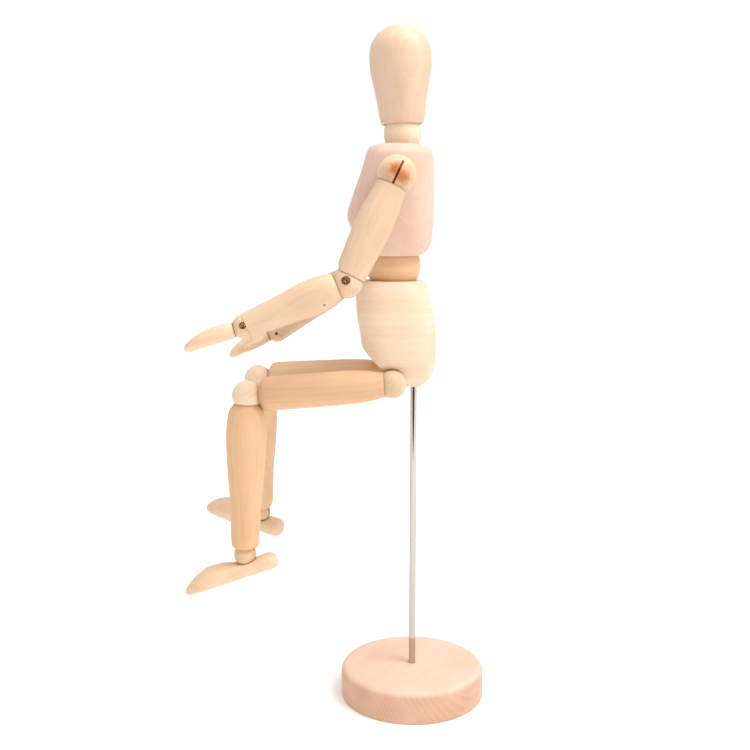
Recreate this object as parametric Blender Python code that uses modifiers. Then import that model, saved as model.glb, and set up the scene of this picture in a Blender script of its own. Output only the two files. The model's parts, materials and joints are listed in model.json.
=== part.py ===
"""An artist's jointed wooden lay figure, seated on a rod and a round base.

The figure faces -X and its left side is towards -Y. The origin is the centre of the
base's underside, on the axis of the rod. Sizes are in millimetres, and placed() and
finish_mesh() turn them into metres.

Every limb works the same way. A wooden ball sits between two limbs whose ends are
hollowed to fit it. A saw slot in the ball lets in the hooks of the tension springs
inside the limbs, and a metal pin across the slot holds the hooks.

Each limb is modelled hanging down from the centre of its upper ball: -Z runs along
the limb, -X is its front and Y is its side.
"""

import math

import bmesh
import bpy
from mathutils import Matrix, Vector

METRES = 0.001
LEFT = -1
RIGHT = 1

# Stand
BASE_RADIUS = 45.0
BASE_HEIGHT = 20.0
BASE_EDGE = 3.5
ROD_RADIUS = 2.0
ROD_CLEARANCE = 0.3
ROD_BOTTOM = 8.0
PELVIS_BORE_DEPTH = 28.0

# Torso: heights above the table, distances in front of the rod as -X
SPINE_X = -12.6
PELVIS_BOTTOM = 200.0
PELVIS_TOP = 263.8
WAIST_HEIGHT = 272.7
WAIST_RADIUS = 16.4
CHEST_BOTTOM = 278.7
CHEST_TOP = 345.3
NECK_X = -7.4
NECK_HEIGHT = 350.6
NECK_RADIUS = 11.9
NECK_SIDE = 10.9
HEAD_BOTTOM = 355.9
HEAD_LENGTH = 57.0
HEAD_PIN_HEIGHT = 367.0

# Balls
SHOULDER_RADIUS = 11.1
ELBOW_RADIUS = 8.9
WRIST_RADIUS = 7.1
HIP_RADIUS = 8.45
KNEE_RADIUS = 8.8
ANKLE_RADIUS = 6.7

# Ball centres on the torso, and the lengths between ball centres
SHOULDER = Vector((-11.4, 40.0, 324.7))
HIP = Vector((-13.5, 24.0, 203.7))
UPPER_ARM_LENGTH = 66.4
FOREARM_LENGTH = 62.4
THIGH_LENGTH = 86.4
SHIN_LENGTH = 97.4

# Outlines of the turned limbs: distance from the upper ball's centre, radius
UPPER_ARM_OUTLINE = [(7.3, 8.85), (12, 9.2), (19, 9.9), (31, 10.6), (43.5, 10.1), (58, 9.1), (62.5, 8.7)]
FOREARM_OUTLINE = [(5.9, 7.5), (9, 8.9), (14, 9.8), (21, 10.2), (27, 9.9), (36, 9.0), (51, 7.9), (60.7, 7.35)]
THIGH_OUTLINE = [(5.0, 7.6), (8, 8.0), (12, 8.8), (20, 9.7), (31, 10.1), (55, 10.2), (73, 10.2), (75.8, 9.7), (78.9, 5.8)]
SHIN_OUTLINE = [(5.3, 7.7), (9.2, 10.3), (16, 11.6), (24, 12.1), (31, 11.9), (47.5, 10.9), (66, 9.3), (88, 8.45), (91.4, 8.1), (92.8, 7.2)]

# Springs, pins and slots
SPRING_RADIUS = 2.0
WIRE_RADIUS = 0.28
HOOK_SHIFT = 0.46
BALL_TO_BARREL = 1.2
PIN_RADIUS = 0.9
PIN_HOLE_RADIUS = 1.2
SLOT_WIDTH = 1.9
SLOT_DEPTH = 0.72
SLOT_SIDE_DEPTH = 0.5
BORE_RADIUS = 3.2
CROSS_BORE_RADIUS = 3.4

# How the figure sits, in degrees: the same rotations as its joints
POSE = {
    "left": {"swing": 25.1, "raise": 8.0, "elbow_turn": 7.0, "elbow": 42.1, "wrist_turn": 0.0, "wrist": 7.8,
             "hip": 85.6, "splay": 0.0, "knee_turn": 0.0, "knee": -84.0, "ankle_turn": 0.0, "ankle": -20.1},
    "right": {"swing": 25.1, "raise": 8.0, "elbow_turn": 4.0, "elbow": 27.4, "wrist_turn": 0.0, "wrist": 14.0,
              "hip": 86.7, "splay": 6.0, "knee_turn": 13.0, "knee": -84.0, "ankle_turn": 19.0, "ankle": 6.3},
}
HEAD_NOD = -1.9

# Mesh fineness: sides of a turned piece, of a small round piece and of a loft's ring
SIDES = 16
TORSO_SIDES = 20
SMALL_SIDES = 8
# A faceted ball turns freely in a faceted cup that is larger by this factor
CUP_FIT = 1.05
TORSO_CUP_FIT = 1.036


def clear_scene():
    for old in list(bpy.data.objects):
        bpy.data.objects.remove(old, do_unlink=True)


def make_collection(name):
    collection = bpy.data.collections.new(name)
    bpy.context.scene.collection.children.link(collection)
    return collection


def make_material(name, color, roughness, metallic=0.0):
    material = bpy.data.materials.new(name)
    material.use_nodes = True
    shader = material.node_tree.nodes["Principled BSDF"]
    shader.inputs["Base Color"].default_value = (*color, 1.0)
    shader.inputs["Roughness"].default_value = roughness
    shader.inputs["Metallic"].default_value = metallic
    return material


clear_scene()
PARTS = make_collection("artist_mannequin")
CUTTERS = make_collection("cutters")
FRAMES = make_collection("joint_frames")

PALE_WOOD = ((0.86, 0.66, 0.45), 0.45, 0.0)
PINK_WOOD = ((0.84, 0.62, 0.48), 0.5, 0.0)
TAN_WOOD = ((0.74, 0.50, 0.30), 0.45, 0.0)
BASE_WOOD = ((0.80, 0.55, 0.42), 0.5, 0.0)
STEEL = ((0.72, 0.72, 0.74), 0.2, 1.0)
SPRING_STEEL = ((0.55, 0.55, 0.57), 0.35, 1.0)
BRASS = ((0.55, 0.38, 0.16), 0.35, 1.0)


def finish_mesh(name, mesh, look=None):
    """A new object for a mesh in millimetres: a part when it has a look, and otherwise a cutter."""
    mesh.transform(Matrix.Scale(METRES, 4))
    piece = bpy.data.objects.new(name, mesh)
    if look:
        PARTS.objects.link(piece)
        mesh.materials.append(make_material(name, *look))
        mesh.shade_smooth()
    else:
        CUTTERS.objects.link(piece)
        piece.hide_render = True
        piece.display_type = "WIRE"
    return piece


def placed(piece, parent, location=(0, 0, 0), rotation=None):
    """Parents a piece or a frame, at a place in millimetres and a rotation in the parent's frame."""
    piece.parent = parent
    piece.location = Vector(location) * METRES
    if rotation:
        piece.rotation_euler = rotation.to_euler()
    return piece


def frame(name, parent, location, rotation=None):
    """An empty at a joint: the pieces of one moving body hang on it."""
    empty = bpy.data.objects.new(name, None)
    empty.empty_display_size = 0.01
    FRAMES.objects.link(empty)
    return placed(empty, parent, location, rotation)


def turn(axis, degrees):
    return Matrix.Rotation(math.radians(degrees), 4, axis)


def turned(name, outline, look, sides=SIDES):
    """A lathe-turned solid: outline runs down its outer side as (radius, height)."""
    mesh = bpy.data.meshes.new(name)
    points = [(0, 0, outline[0][1])] + [(radius, 0, height) for radius, height in outline]
    points.append((0, 0, outline[-1][1]))
    mesh.from_pydata(points, [(i, i + 1) for i in range(len(points) - 1)], [])
    piece = finish_mesh(name, mesh, look)
    screw = piece.modifiers.new("Turned", "SCREW")
    screw.steps = screw.render_steps = sides
    screw.use_merge_vertices = True
    screw.merge_threshold = 0.00001
    screw.use_smooth_shade = True
    return piece


def sphere(name, radius, look=None, sides=SIDES):
    mesh = bpy.data.meshes.new(name)
    build = bmesh.new()
    bmesh.ops.create_uvsphere(build, u_segments=sides, v_segments=sides // 2, radius=radius)
    build.to_mesh(mesh)
    build.free()
    return finish_mesh(name, mesh, look)


def cylinder(name, start, end, radius, look=None, sides=SMALL_SIDES):
    """A round bar or hole between two points."""
    start, end = Vector(start), Vector(end)
    mesh = bpy.data.meshes.new(name)
    build = bmesh.new()
    bmesh.ops.create_cone(build, cap_ends=True, segments=sides, radius1=radius, radius2=radius,
                          depth=(end - start).length)
    spin = (end - start).to_track_quat("Z", "Y").to_matrix().to_4x4()
    build.transform(Matrix.Translation((start + end) / 2) @ spin)
    build.to_mesh(mesh)
    build.free()
    return finish_mesh(name, mesh, look)


def box(name, low, high, rotation=None):
    """A cutting block between two corners, turned about its own centre."""
    low, high = Vector(low), Vector(high)
    mesh = bpy.data.meshes.new(name)
    build = bmesh.new()
    bmesh.ops.create_cube(build, size=1.0)
    build.transform(Matrix.Diagonal((*(high - low), 1.0)))
    if rotation:
        build.transform(rotation)
    build.transform(Matrix.Translation((low + high) / 2))
    build.to_mesh(mesh)
    build.free()
    return finish_mesh(name, mesh)


def loft(name, rings, look):
    """A carved solid through rings of points, from one flat end to the other."""
    mesh = bpy.data.meshes.new(name)
    build = bmesh.new()
    loops = [[build.verts.new(point) for point in ring] for ring in rings]
    count = len(loops[0])
    for lower, upper in zip(loops, loops[1:]):
        for i in range(count):
            build.faces.new((lower[i], lower[(i + 1) % count], upper[(i + 1) % count], upper[i]))
    build.faces.new(reversed(loops[0]))
    build.faces.new(loops[-1])
    bmesh.ops.recalc_face_normals(build, faces=build.faces)
    build.to_mesh(mesh)
    build.free()
    return finish_mesh(name, mesh, look)


def rounded_ring(centre, half_a, half_b, squareness, sides=TORSO_SIDES):
    """Points (a, b) on a superellipse: 2 is an ellipse, and more is squarer."""
    ring = []
    for i in range(sides):
        angle = 2 * math.pi * (i + 0.5) / sides
        c, s = math.cos(angle), math.sin(angle)
        a = math.copysign(abs(c) ** (2 / squareness), c)
        b = math.copysign(abs(s) ** (2 / squareness), s)
        ring.append((centre[0] + half_a * a, centre[1] + half_b * b))
    return ring


def boolean(piece, tool, operation):
    """Cuts or joins with a tool, which stays in the piece's own frame."""
    modifier = piece.modifiers.new(tool.name, "BOOLEAN")
    modifier.operation = operation
    modifier.object = tool
    modifier.solver = "EXACT"
    tool.parent = piece
    tool.display_type = "WIRE"


def cut(piece, tool, location=(0, 0, 0)):
    tool.location = Vector(location) * METRES
    boolean(piece, tool, "DIFFERENCE")


def wire(name, points, radii, look):
    """A round wire through points, with a radius at each point."""
    curve = bpy.data.curves.new(name, "CURVE")
    curve.dimensions = "3D"
    curve.bevel_depth = METRES
    curve.bevel_resolution = 1
    curve.use_fill_caps = True
    spline = curve.splines.new("POLY")
    spline.points.add(len(points) - 1)
    for spot, point, radius in zip(spline.points, points, radii):
        spot.co = (*(Vector(point) * METRES), 1.0)
        spot.radius = radius
    curve.materials.append(make_material(name, *look))
    piece = bpy.data.objects.new(name, curve)
    PARTS.objects.link(piece)
    return piece


def hook(centre, outward, pin_axis, ring_radius):
    """The eye of a hook round a pin, listed from its open end to where it meets the shank.

    outward points from the eye's centre to the spring, and pin_axis along the pin."""
    outward = Vector(outward).normalized()
    side = Vector(pin_axis).cross(outward).normalized()
    points = []
    for step in range(7):
        angle = math.radians(50 + 310 * step / 6)
        points.append(Vector(centre) + ring_radius * (math.cos(angle) * outward + math.sin(angle) * side))
    return points


def spring(name, parent, start, end, start_axis, end_axis, necks, shifts, rings=(1.55, 1.55), barrel=SPRING_RADIUS):
    """A close-wound tension spring between two pins: a barrel with a hook at each end.

    necks are the distances from the pins to the barrel, which stays outside the balls.
    shifts move the hooks along their pins, so that two hooks share a pin side by side."""
    start, end = Vector(start), Vector(end)
    along = (end - start).normalized()
    first_pin, last_pin = Vector(start_axis), Vector(end_axis)
    first_eye = start + first_pin * shifts[0]
    last_eye = end + last_pin * shifts[1]
    first = hook(first_eye, along, first_pin, rings[0])
    last = hook(last_eye, -along, last_pin, rings[1])
    middle = [first_eye + along * (necks[0] - 1.2), start + along * (necks[0] - 0.4), start + along * necks[0],
              end - along * necks[1], end - along * (necks[1] - 0.4), last_eye - along * (necks[1] - 1.2)]
    points = first + middle + last[::-1]
    thin, thick = WIRE_RADIUS, barrel
    radii = [thin] * (len(first) + 2) + [thick] * 2 + [thin] * (len(last) + 2)
    return placed(wire(name, points, radii, SPRING_STEEL), parent)


def pin(name, parent, start, end, look=STEEL, head=0.0, head_length=0.0):
    """A plain pin, or a rivet with a domed head at its start."""
    if not head:
        return placed(cylinder(name, start, end, PIN_RADIUS, look), parent)
    start, end = Vector(start), Vector(end)
    length = (end - start).length
    outline = [(head * 0.55, length), (head, length - head_length * 0.45), (head, length - head_length),
               (PIN_RADIUS, length - head_length), (PIN_RADIUS, 0)]
    spin = (start - end).to_track_quat("Z", "Y").to_matrix().to_4x4()
    return placed(turned(name, outline, look, SMALL_SIDES + 2), parent, end, spin)


def slotted_ball(name, parent, radius, open_side, pin_axis, whole_side=0):
    """A joint ball with a saw slot square to its pin: open_side is where the saw went in.

    whole_side is -1 or 1 where the slot stops short of the -Y or +Y face, and 0 where it runs through.
    """
    ball = placed(sphere(name, radius, PALE_WOOD), parent)
    far = radius * 1.2
    low, high = Vector((-far, -far, -far)), Vector((far, far, far))
    for axis in range(3):
        if abs(pin_axis[axis]) > 0.5:
            low[axis], high[axis] = -SLOT_WIDTH / 2, SLOT_WIDTH / 2
        if open_side[axis] > 0.5:
            low[axis] = -SLOT_DEPTH * radius
        if open_side[axis] < -0.5:
            high[axis] = SLOT_DEPTH * radius
    if whole_side < 0:
        low.y = -SLOT_SIDE_DEPTH * radius
    if whole_side > 0:
        high.y = SLOT_SIDE_DEPTH * radius
    cut(ball, box(name + "_slot", low, high))
    return ball


def limb(name, parent, outline, length, upper_radius, lower_radius):
    """A turned limb with a cup for the ball at each end and a bore for its spring."""
    piece = placed(turned(name, [(radius, -distance) for distance, radius in outline], PALE_WOOD), parent)
    cut(piece, cylinder(name + "_bore", (0, 0, 0), (0, 0, -length), BORE_RADIUS))
    cut(piece, sphere(name + "_upper_cup", upper_radius * CUP_FIT))
    cut(piece, sphere(name + "_lower_cup", lower_radius * CUP_FIT), (0, 0, -length))
    return piece


def torso_rings(sections, sides=TORSO_SIDES):
    """Rings for a torso block from (height, front, back, half width, squareness)."""
    rings = []
    for height, front, back, half_width, squareness in sections:
        ring = rounded_ring(((front + back) / 2, 0), (back - front) / 2, half_width, squareness, sides)
        rings.append([(x, y, height) for x, y in ring])
    return rings


def build_stand():
    outline = [(BASE_RADIUS - BASE_EDGE, BASE_HEIGHT)]
    for step in range(1, 4):
        angle = math.radians(30 * step)
        outline.append((BASE_RADIUS - BASE_EDGE * (1 - math.sin(angle)), BASE_HEIGHT - BASE_EDGE * (1 - math.cos(angle))))
    outline += [(BASE_RADIUS, 1.0), (BASE_RADIUS - 1.0, 0)]
    base = turned("base", outline, BASE_WOOD, 40)
    hole = ROD_RADIUS + ROD_CLEARANCE
    cut(base, cylinder("base_hole", (0, 0, ROD_BOTTOM), (0, 0, BASE_HEIGHT + 5), hole, sides=12))
    rod_frame = frame("rod_frame", None, (0, 0, BASE_HEIGHT))
    rod_top = PELVIS_BOTTOM + PELVIS_BORE_DEPTH - ROD_CLEARANCE - BASE_HEIGHT
    rod_foot = ROD_BOTTOM + ROD_CLEARANCE - BASE_HEIGHT
    placed(cylinder("rod", (0, 0, rod_foot), (0, 0, rod_top), ROD_RADIUS, STEEL, 12), rod_frame)
    return rod_frame


def build_pelvis(rod_frame):
    """A carved block with slanted hip seats and a chamfered front edge, so that the thighs can rise."""
    spot = frame("pelvis_frame", rod_frame, (0, 0, PELVIS_BOTTOM - BASE_HEIGHT))
    low = PELVIS_BOTTOM
    sections = [(0, -22.5, 4.0, 15.0, 2.6), (3, -26, 8.5, 20.0, 2.8), (8, -28.5, 11.5, 24.0, 3), (14, -30.3, 12.9, 26.2, 3),
                (23, -31.6, 13.3, 27.0, 3), (33.5, -33.0, 12.9, 26.8, 3), (42.7, -34.7, 11.6, 25.8, 3),
                (55.7, -35.2, 8.7, 23.2, 2.8), (61, -33.4, 7.0, 21.4, 2.6), (PELVIS_TOP - low, -30.8, 5.4, 19.6, 2.5)]
    pelvis = placed(loft("pelvis", torso_rings(sections), PINK_WOOD), spot)
    waist = Vector((SPINE_X, 0, WAIST_HEIGHT - low))
    hip = HIP - Vector((0, 0, low))
    cut(pelvis, sphere("pelvis_waist_cup", WAIST_RADIUS * TORSO_CUP_FIT, sides=TORSO_SIDES), waist)
    # The seat faces lie 7.07 mm from the hip's centre, and the front chamfer starts 4 mm in front of it
    seat_distance, chamfer_distance, chamfer_height, block = 7.07, 4.0, 6.4, 40
    for side, word in ((LEFT, "left"), (RIGHT, "right")):
        centre = Vector((hip.x, side * hip.y, hip.z))
        normal = Vector((0, side, -1)).normalized()
        middle = centre + normal * (block / 2 - seat_distance)
        seat = box(word + "_hip_seat", (-block, -block, -block / 2), (block, block, block / 2), turn("X", side * 45))
        cut(pelvis, seat, middle)
        cut(pelvis, sphere(word + "_hip_cup", HIP_RADIUS * CUP_FIT), centre)
    corner = Vector((hip.x - chamfer_distance, 0, hip.z + chamfer_height))
    middle = corner + Vector((-1, 0, -1)).normalized() * block / 2
    cut(pelvis, box("pelvis_chamfer", (-block, -block, -block / 2), (block, block, block / 2), turn("Y", 45)), middle)
    rod_hole = ROD_RADIUS + ROD_CLEARANCE
    cut(pelvis, cylinder("pelvis_rod_hole", (0, 0, -10), (0, 0, PELVIS_BORE_DEPTH), rod_hole, sides=12))
    cut(pelvis, cylinder("pelvis_spring_bore", (SPINE_X, 0, hip.z), waist, CROSS_BORE_RADIUS))
    cut(pelvis, cylinder("pelvis_cross_bore", (hip.x, -hip.y, hip.z), (hip.x, hip.y, hip.z), CROSS_BORE_RADIUS))
    return spot


def build_waist(pelvis_frame):
    spot = frame("waist_frame", pelvis_frame, (SPINE_X, 0, WAIST_HEIGHT - PELVIS_BOTTOM))
    waist = placed(sphere("waist", WAIST_RADIUS, TAN_WOOD, TORSO_SIDES), spot)
    cut(waist, cylinder("waist_bore", (0, 0, -20), (0, 0, 20), CROSS_BORE_RADIUS))
    return spot


def build_chest(waist_frame):
    """A carved block, widest at the shoulders and fullest low on its front."""
    spot = frame("chest_frame", waist_frame, (0, 0, 0))
    sections = [(6.0, -18.0, 15.4, 19.0, 2.6), (9.3, -21.0, 20.2, 21.2, 2.8), (14, -23.0, 22.4, 22.6, 3),
                (20.4, -24.6, 23.2, 24.0, 3), (29.3, -27.7, 23.7, 26.0, 3), (42.6, -24.0, 23.9, 29.2, 3),
                (56.7, -18.9, 23.9, 31.2, 3), (65.4, -16.0, 23.6, 30.4, 3), (70, -14.0, 21.2, 27.4, 2.8),
                (CHEST_TOP - WAIST_HEIGHT, -11.4, 17.4, 22.5, 2.6)]
    chest = placed(loft("chest", torso_rings(sections), PINK_WOOD), spot)
    origin = Vector((SPINE_X, 0, WAIST_HEIGHT))
    neck = Vector((NECK_X, 0, NECK_HEIGHT)) - origin
    shoulder = SHOULDER - origin
    spring_seat = Vector((shoulder.x, 0, shoulder.z))
    cut(chest, sphere("chest_waist_cup", WAIST_RADIUS * TORSO_CUP_FIT, sides=TORSO_SIDES))
    cut(chest, sphere("chest_neck_cup", NECK_RADIUS * TORSO_CUP_FIT, sides=TORSO_SIDES), neck)
    cut(chest, cylinder("chest_spring_bore", (0, 0, 0), spring_seat, CROSS_BORE_RADIUS))
    cut(chest, cylinder("chest_neck_bore", spring_seat, neck, CROSS_BORE_RADIUS))
    cut(chest, cylinder("chest_cross_bore", (shoulder.x, -shoulder.y, shoulder.z), shoulder, CROSS_BORE_RADIUS))
    for side, word in ((LEFT, "left"), (RIGHT, "right")):
        cup = sphere(word + "_shoulder_cup", SHOULDER_RADIUS * CUP_FIT)
        cut(chest, cup, (shoulder.x, side * shoulder.y, shoulder.z))
    return spot


def build_neck(chest_frame):
    """A short barrel whose rounded ends sit in the chest and in the head."""
    spot = frame("neck_frame", chest_frame, (NECK_X - SPINE_X, 0, NECK_HEIGHT - WAIST_HEIGHT))
    outline = []
    for step in range(-4, 5):
        if step == 0:
            continue
        angle = math.radians(17 * abs(step) + 6.5)
        radius = min(NECK_SIDE, NECK_RADIUS * math.cos(angle))
        outline.append((radius, -math.copysign(NECK_RADIUS * math.sin(angle), step)))
    neck = placed(turned("neck", outline, PALE_WOOD, TORSO_SIDES), spot)
    cut(neck, cylinder("neck_bore", (0, 0, -20), (0, 0, 20), 4.8))
    return spot


def build_head(neck_frame):
    """A smooth turned egg with no face, hollowed below for the neck."""
    spot = frame("head_frame", neck_frame, (0, 0, 0), turn("Y", HEAD_NOD))
    outline = [(56.9, 2.2), (56.2, 5.6), (54.3, 10.4), (51.9, 13.2), (48.4, 15.9), (44.8, 17.5), (40.0, 18.15), (34.0, 18.15),
               (27.1, 17.3), (20.0, 15.9), (13.5, 14.75), (6.5, 13.75), (3.4, 13.2), (1.2, 12.6), (0, 11.95)]
    bottom = HEAD_BOTTOM - NECK_HEIGHT
    head = placed(turned("head", [(radius, height + bottom) for height, radius in outline], PALE_WOOD, TORSO_SIDES), spot)
    cut(head, sphere("head_cup", NECK_RADIUS * TORSO_CUP_FIT, sides=TORSO_SIDES))
    pin_height = HEAD_PIN_HEIGHT - NECK_HEIGHT
    cut(head, cylinder("head_bore", (0, 0, 0), (0, 0, pin_height + 4), 3.8))
    cut(head, cylinder("head_pin_hole", (0, -9, pin_height), (0, 20, pin_height), PIN_HOLE_RADIUS))
    pin("head_pin", spot, (0, 11.5, pin_height), (0, -8.7, pin_height))
    return spot


def build_torso_springs(pelvis_frame, waist_frame, chest_frame, neck_frame):
    """The cross springs pull the shoulders and the hips in, and the spine springs hook over them."""
    barrel = SPRING_RADIUS
    eye = barrel + WIRE_RADIUS + 0.35
    origin = Vector((SPINE_X, 0, WAIST_HEIGHT))
    shoulder = SHOULDER - origin
    hip = HIP - origin
    neck = Vector((NECK_X, 0, NECK_HEIGHT)) - origin
    hip_local = HIP - Vector((0, 0, PELVIS_BOTTOM))
    spring("hip_spring", pelvis_frame, (hip_local.x, -hip_local.y, hip_local.z), hip_local, *cross_pins("hip"),
           (HIP_RADIUS + BALL_TO_BARREL,) * 2, (HOOK_SHIFT, HOOK_SHIFT))
    spring("shoulder_spring", chest_frame, (shoulder.x, -shoulder.y, shoulder.z), shoulder, *cross_pins("swing"),
           (SHOULDER_RADIUS + BALL_TO_BARREL,) * 2, (HOOK_SHIFT, HOOK_SHIFT))
    hip_middle = Vector((hip.x, 0, hip.z))
    shoulder_middle = Vector((shoulder.x, 0, shoulder.z))
    spring("waist_spring", waist_frame, hip_middle, shoulder_middle, (0, 1, 0), (0, 1, 0), (6.5, 6.5), (-0.9, -0.9),
           (eye, eye))
    head_pin = Vector((0, 0, HEAD_PIN_HEIGHT - NECK_HEIGHT))
    tilt = turn("Y", HEAD_NOD)
    spring("neck_spring", neck_frame, shoulder_middle - neck, tilt @ head_pin, (0, 1, 0), (0, 1, 0),
           (6.0, 4.5), (0.9, 0), (eye, 1.55), 1.6)


def cross_pins(joint):
    """The directions of the left and right pins that a cross spring hooks over."""
    return [turn("Y", POSE[word][joint]) @ Vector((1, 0, 0)) for word in ("left", "right")]


def build_arm(word, side, chest_frame):
    pose = POSE[word]
    name = word + "_"
    origin = Vector((SPINE_X, 0, WAIST_HEIGHT))
    place = Vector((SHOULDER.x, side * SHOULDER.y, SHOULDER.z)) - origin
    across, sideways = Vector((1, 0, 0)), Vector((0, 1, 0))

    shoulder = frame(name + "shoulder_frame", chest_frame, place, turn("Y", pose["swing"]))
    ball = slotted_ball(name + "shoulder_ball", shoulder, SHOULDER_RADIUS, (0, 0, -1), across)
    reach = SHOULDER_RADIUS * 0.86
    cut(ball, cylinder(name + "shoulder_pin_hole", (-20, 0, 0), (20, 0, 0), PIN_HOLE_RADIUS))
    pin(name + "shoulder_pin", shoulder, (-reach, 0, 0), (reach, 0, 0))

    arm = frame(name + "upper_arm_frame", shoulder, (0, 0, 0), turn("X", side * pose["raise"]))
    upper = limb(name + "upper_arm", arm, UPPER_ARM_OUTLINE, UPPER_ARM_LENGTH, SHOULDER_RADIUS, ELBOW_RADIUS)
    cut_bend_notch(upper, name + "upper_arm_notch", UPPER_ARM_LENGTH)
    elbow_turn = turn("Z", side * pose["elbow_turn"])
    spring(name + "upper_arm_spring", arm, (0, 0, 0), (0, 0, -UPPER_ARM_LENGTH), across, elbow_turn @ sideways,
           (SHOULDER_RADIUS + BALL_TO_BARREL, ELBOW_RADIUS + BALL_TO_BARREL), (-HOOK_SHIFT, HOOK_SHIFT))

    elbow = frame(name + "elbow_frame", arm, (0, 0, -UPPER_ARM_LENGTH), elbow_turn)
    ball = slotted_ball(name + "elbow_ball", elbow, ELBOW_RADIUS, (-1, 0, 0), sideways)
    rivet_joint(ball, name + "elbow_rivet", elbow, ELBOW_RADIUS, side, 2.3)

    fore = frame(name + "forearm_frame", elbow, (0, 0, 0), turn("Y", pose["elbow"]))
    limb(name + "forearm", fore, FOREARM_OUTLINE, FOREARM_LENGTH, ELBOW_RADIUS, WRIST_RADIUS)
    wrist_turn = turn("Z", side * pose["wrist_turn"])
    spring(name + "forearm_spring", fore, (0, 0, 0), (0, 0, -FOREARM_LENGTH), sideways, wrist_turn @ sideways,
           (ELBOW_RADIUS + BALL_TO_BARREL, WRIST_RADIUS + BALL_TO_BARREL), (-HOOK_SHIFT, HOOK_SHIFT))

    wrist = frame(name + "wrist_frame", fore, (0, 0, -FOREARM_LENGTH), wrist_turn)
    ball = slotted_ball(name + "wrist_ball", wrist, WRIST_RADIUS, (1, 0, 0), sideways)
    rivet_joint(ball, name + "wrist_rivet", wrist, WRIST_RADIUS, side, 1.8)

    palm = frame(name + "hand_frame", wrist, (0, 0, 0), turn("Y", pose["wrist"]))
    build_hand(name, side, palm)


def cut_bend_notch(piece, name, length):
    """A flat bevel on the front of the limb's lower end, which lets the next limb bend further."""
    block = 30
    corner = Vector((-7.25, 0, -(length - 5.6)))
    normal = Vector((-0.79, 0, -0.61))
    spin = normal.to_track_quat("Z", "Y").to_matrix().to_4x4()
    notch = box(name, (-block / 2, -block / 2, -block / 2), (block / 2, block / 2, block / 2), spin)
    cut(piece, notch, corner + normal * block / 2)


def rivet_joint(ball, name, parent, radius, side, head):
    """A rivet across a ball, with its head sunk into the ball's outer side."""
    sink = radius - 1.5
    cut(ball, cylinder(name + "_hole", (0, -20, 0), (0, 20, 0), PIN_HOLE_RADIUS))
    cut(ball, cylinder(name + "_seat", (0, side * sink, 0), (0, side * 20, 0), head + 0.35, sides=SMALL_SIDES + 2))
    pin(name, parent, (0, side * (radius - 0.25), 0), (0, -side * (radius - 1.0), 0), BRASS, head, 0.9)


def blind_pin(ball, name, parent, radius, side):
    """A steel pin pushed in from the inner side of the leg, which doesn't reach the outer side."""
    depth = radius - 2.2
    cut(ball, cylinder(name + "_hole", (0, -side * 20, 0), (0, side * depth, 0), PIN_HOLE_RADIUS))
    pin(name, parent, (0, -side * (radius - 0.5), 0), (0, side * (depth - 0.3), 0))


def build_hand(name, side, parent):
    """A mitten hand with a thumb, hooked to the wrist's rivet. Its palm is towards +X."""
    sections = [(6.1, 4.3, 4.7, 0.0), (8.5, 4.5, 6.0, 0.0), (12.5, 4.7, 7.3, 0.0), (18, 4.6, 8.0, 0.1), (24, 4.2, 8.0, 0.6),
                (29, 3.6, 7.2, 1.4), (33, 2.8, 5.4, 2.3), (35.3, 1.8, 3.2, 2.9), (36.2, 0.8, 1.6, 3.2)]
    rings = []
    for distance, half_thick, half_wide, palmward in sections:
        ring = rounded_ring((palmward, 0), half_thick, half_wide, 2.4, 16)
        rings.append([(x, y, -distance) for x, y in ring])
    hand = placed(loft(name + "hand", rings, PALE_WOOD), parent)
    thumb_sections = [(9.0, 5.0, 2.4), (13.0, 7.4, 2.9), (17.5, 9.4, 2.7), (21.5, 10.6, 2.2), (23.6, 11.0, 1.2)]
    rings = []
    for distance, sideways, half in thumb_sections:
        ring = rounded_ring((0.8, -side * sideways), half, half * 0.95, 2.2, 12)
        rings.append([(x, y, -distance) for x, y in ring])
    thumb = loft(name + "thumb", rings, PALE_WOOD)
    PARTS.objects.unlink(thumb)
    CUTTERS.objects.link(thumb)
    thumb.hide_render = True
    boolean(hand, thumb, "UNION")
    cut(hand, sphere(name + "hand_cup", WRIST_RADIUS * CUP_FIT))
    stem = 13.0
    cut(hand, cylinder(name + "hand_hook_hole", (0, 0, 0), (0, 0, -stem - 0.5), 0.8, sides=8))
    end_hook(name + "hand_hook", parent, stem)


def end_hook(name, parent, stem):
    """The wire eye fixed in a hand or a foot, which holds it to the pin of its ball."""
    axis = Vector((0, 1, 0))
    shift = -HOOK_SHIFT
    eye = hook(axis * shift, (0, 0, -1), axis, 1.55)
    points = eye + [Vector((0, shift, -3.2)), Vector((0, 0, -5.2)), Vector((0, 0, -stem))]
    placed(wire(name, points, [WIRE_RADIUS] * len(points), SPRING_STEEL), parent)


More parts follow.
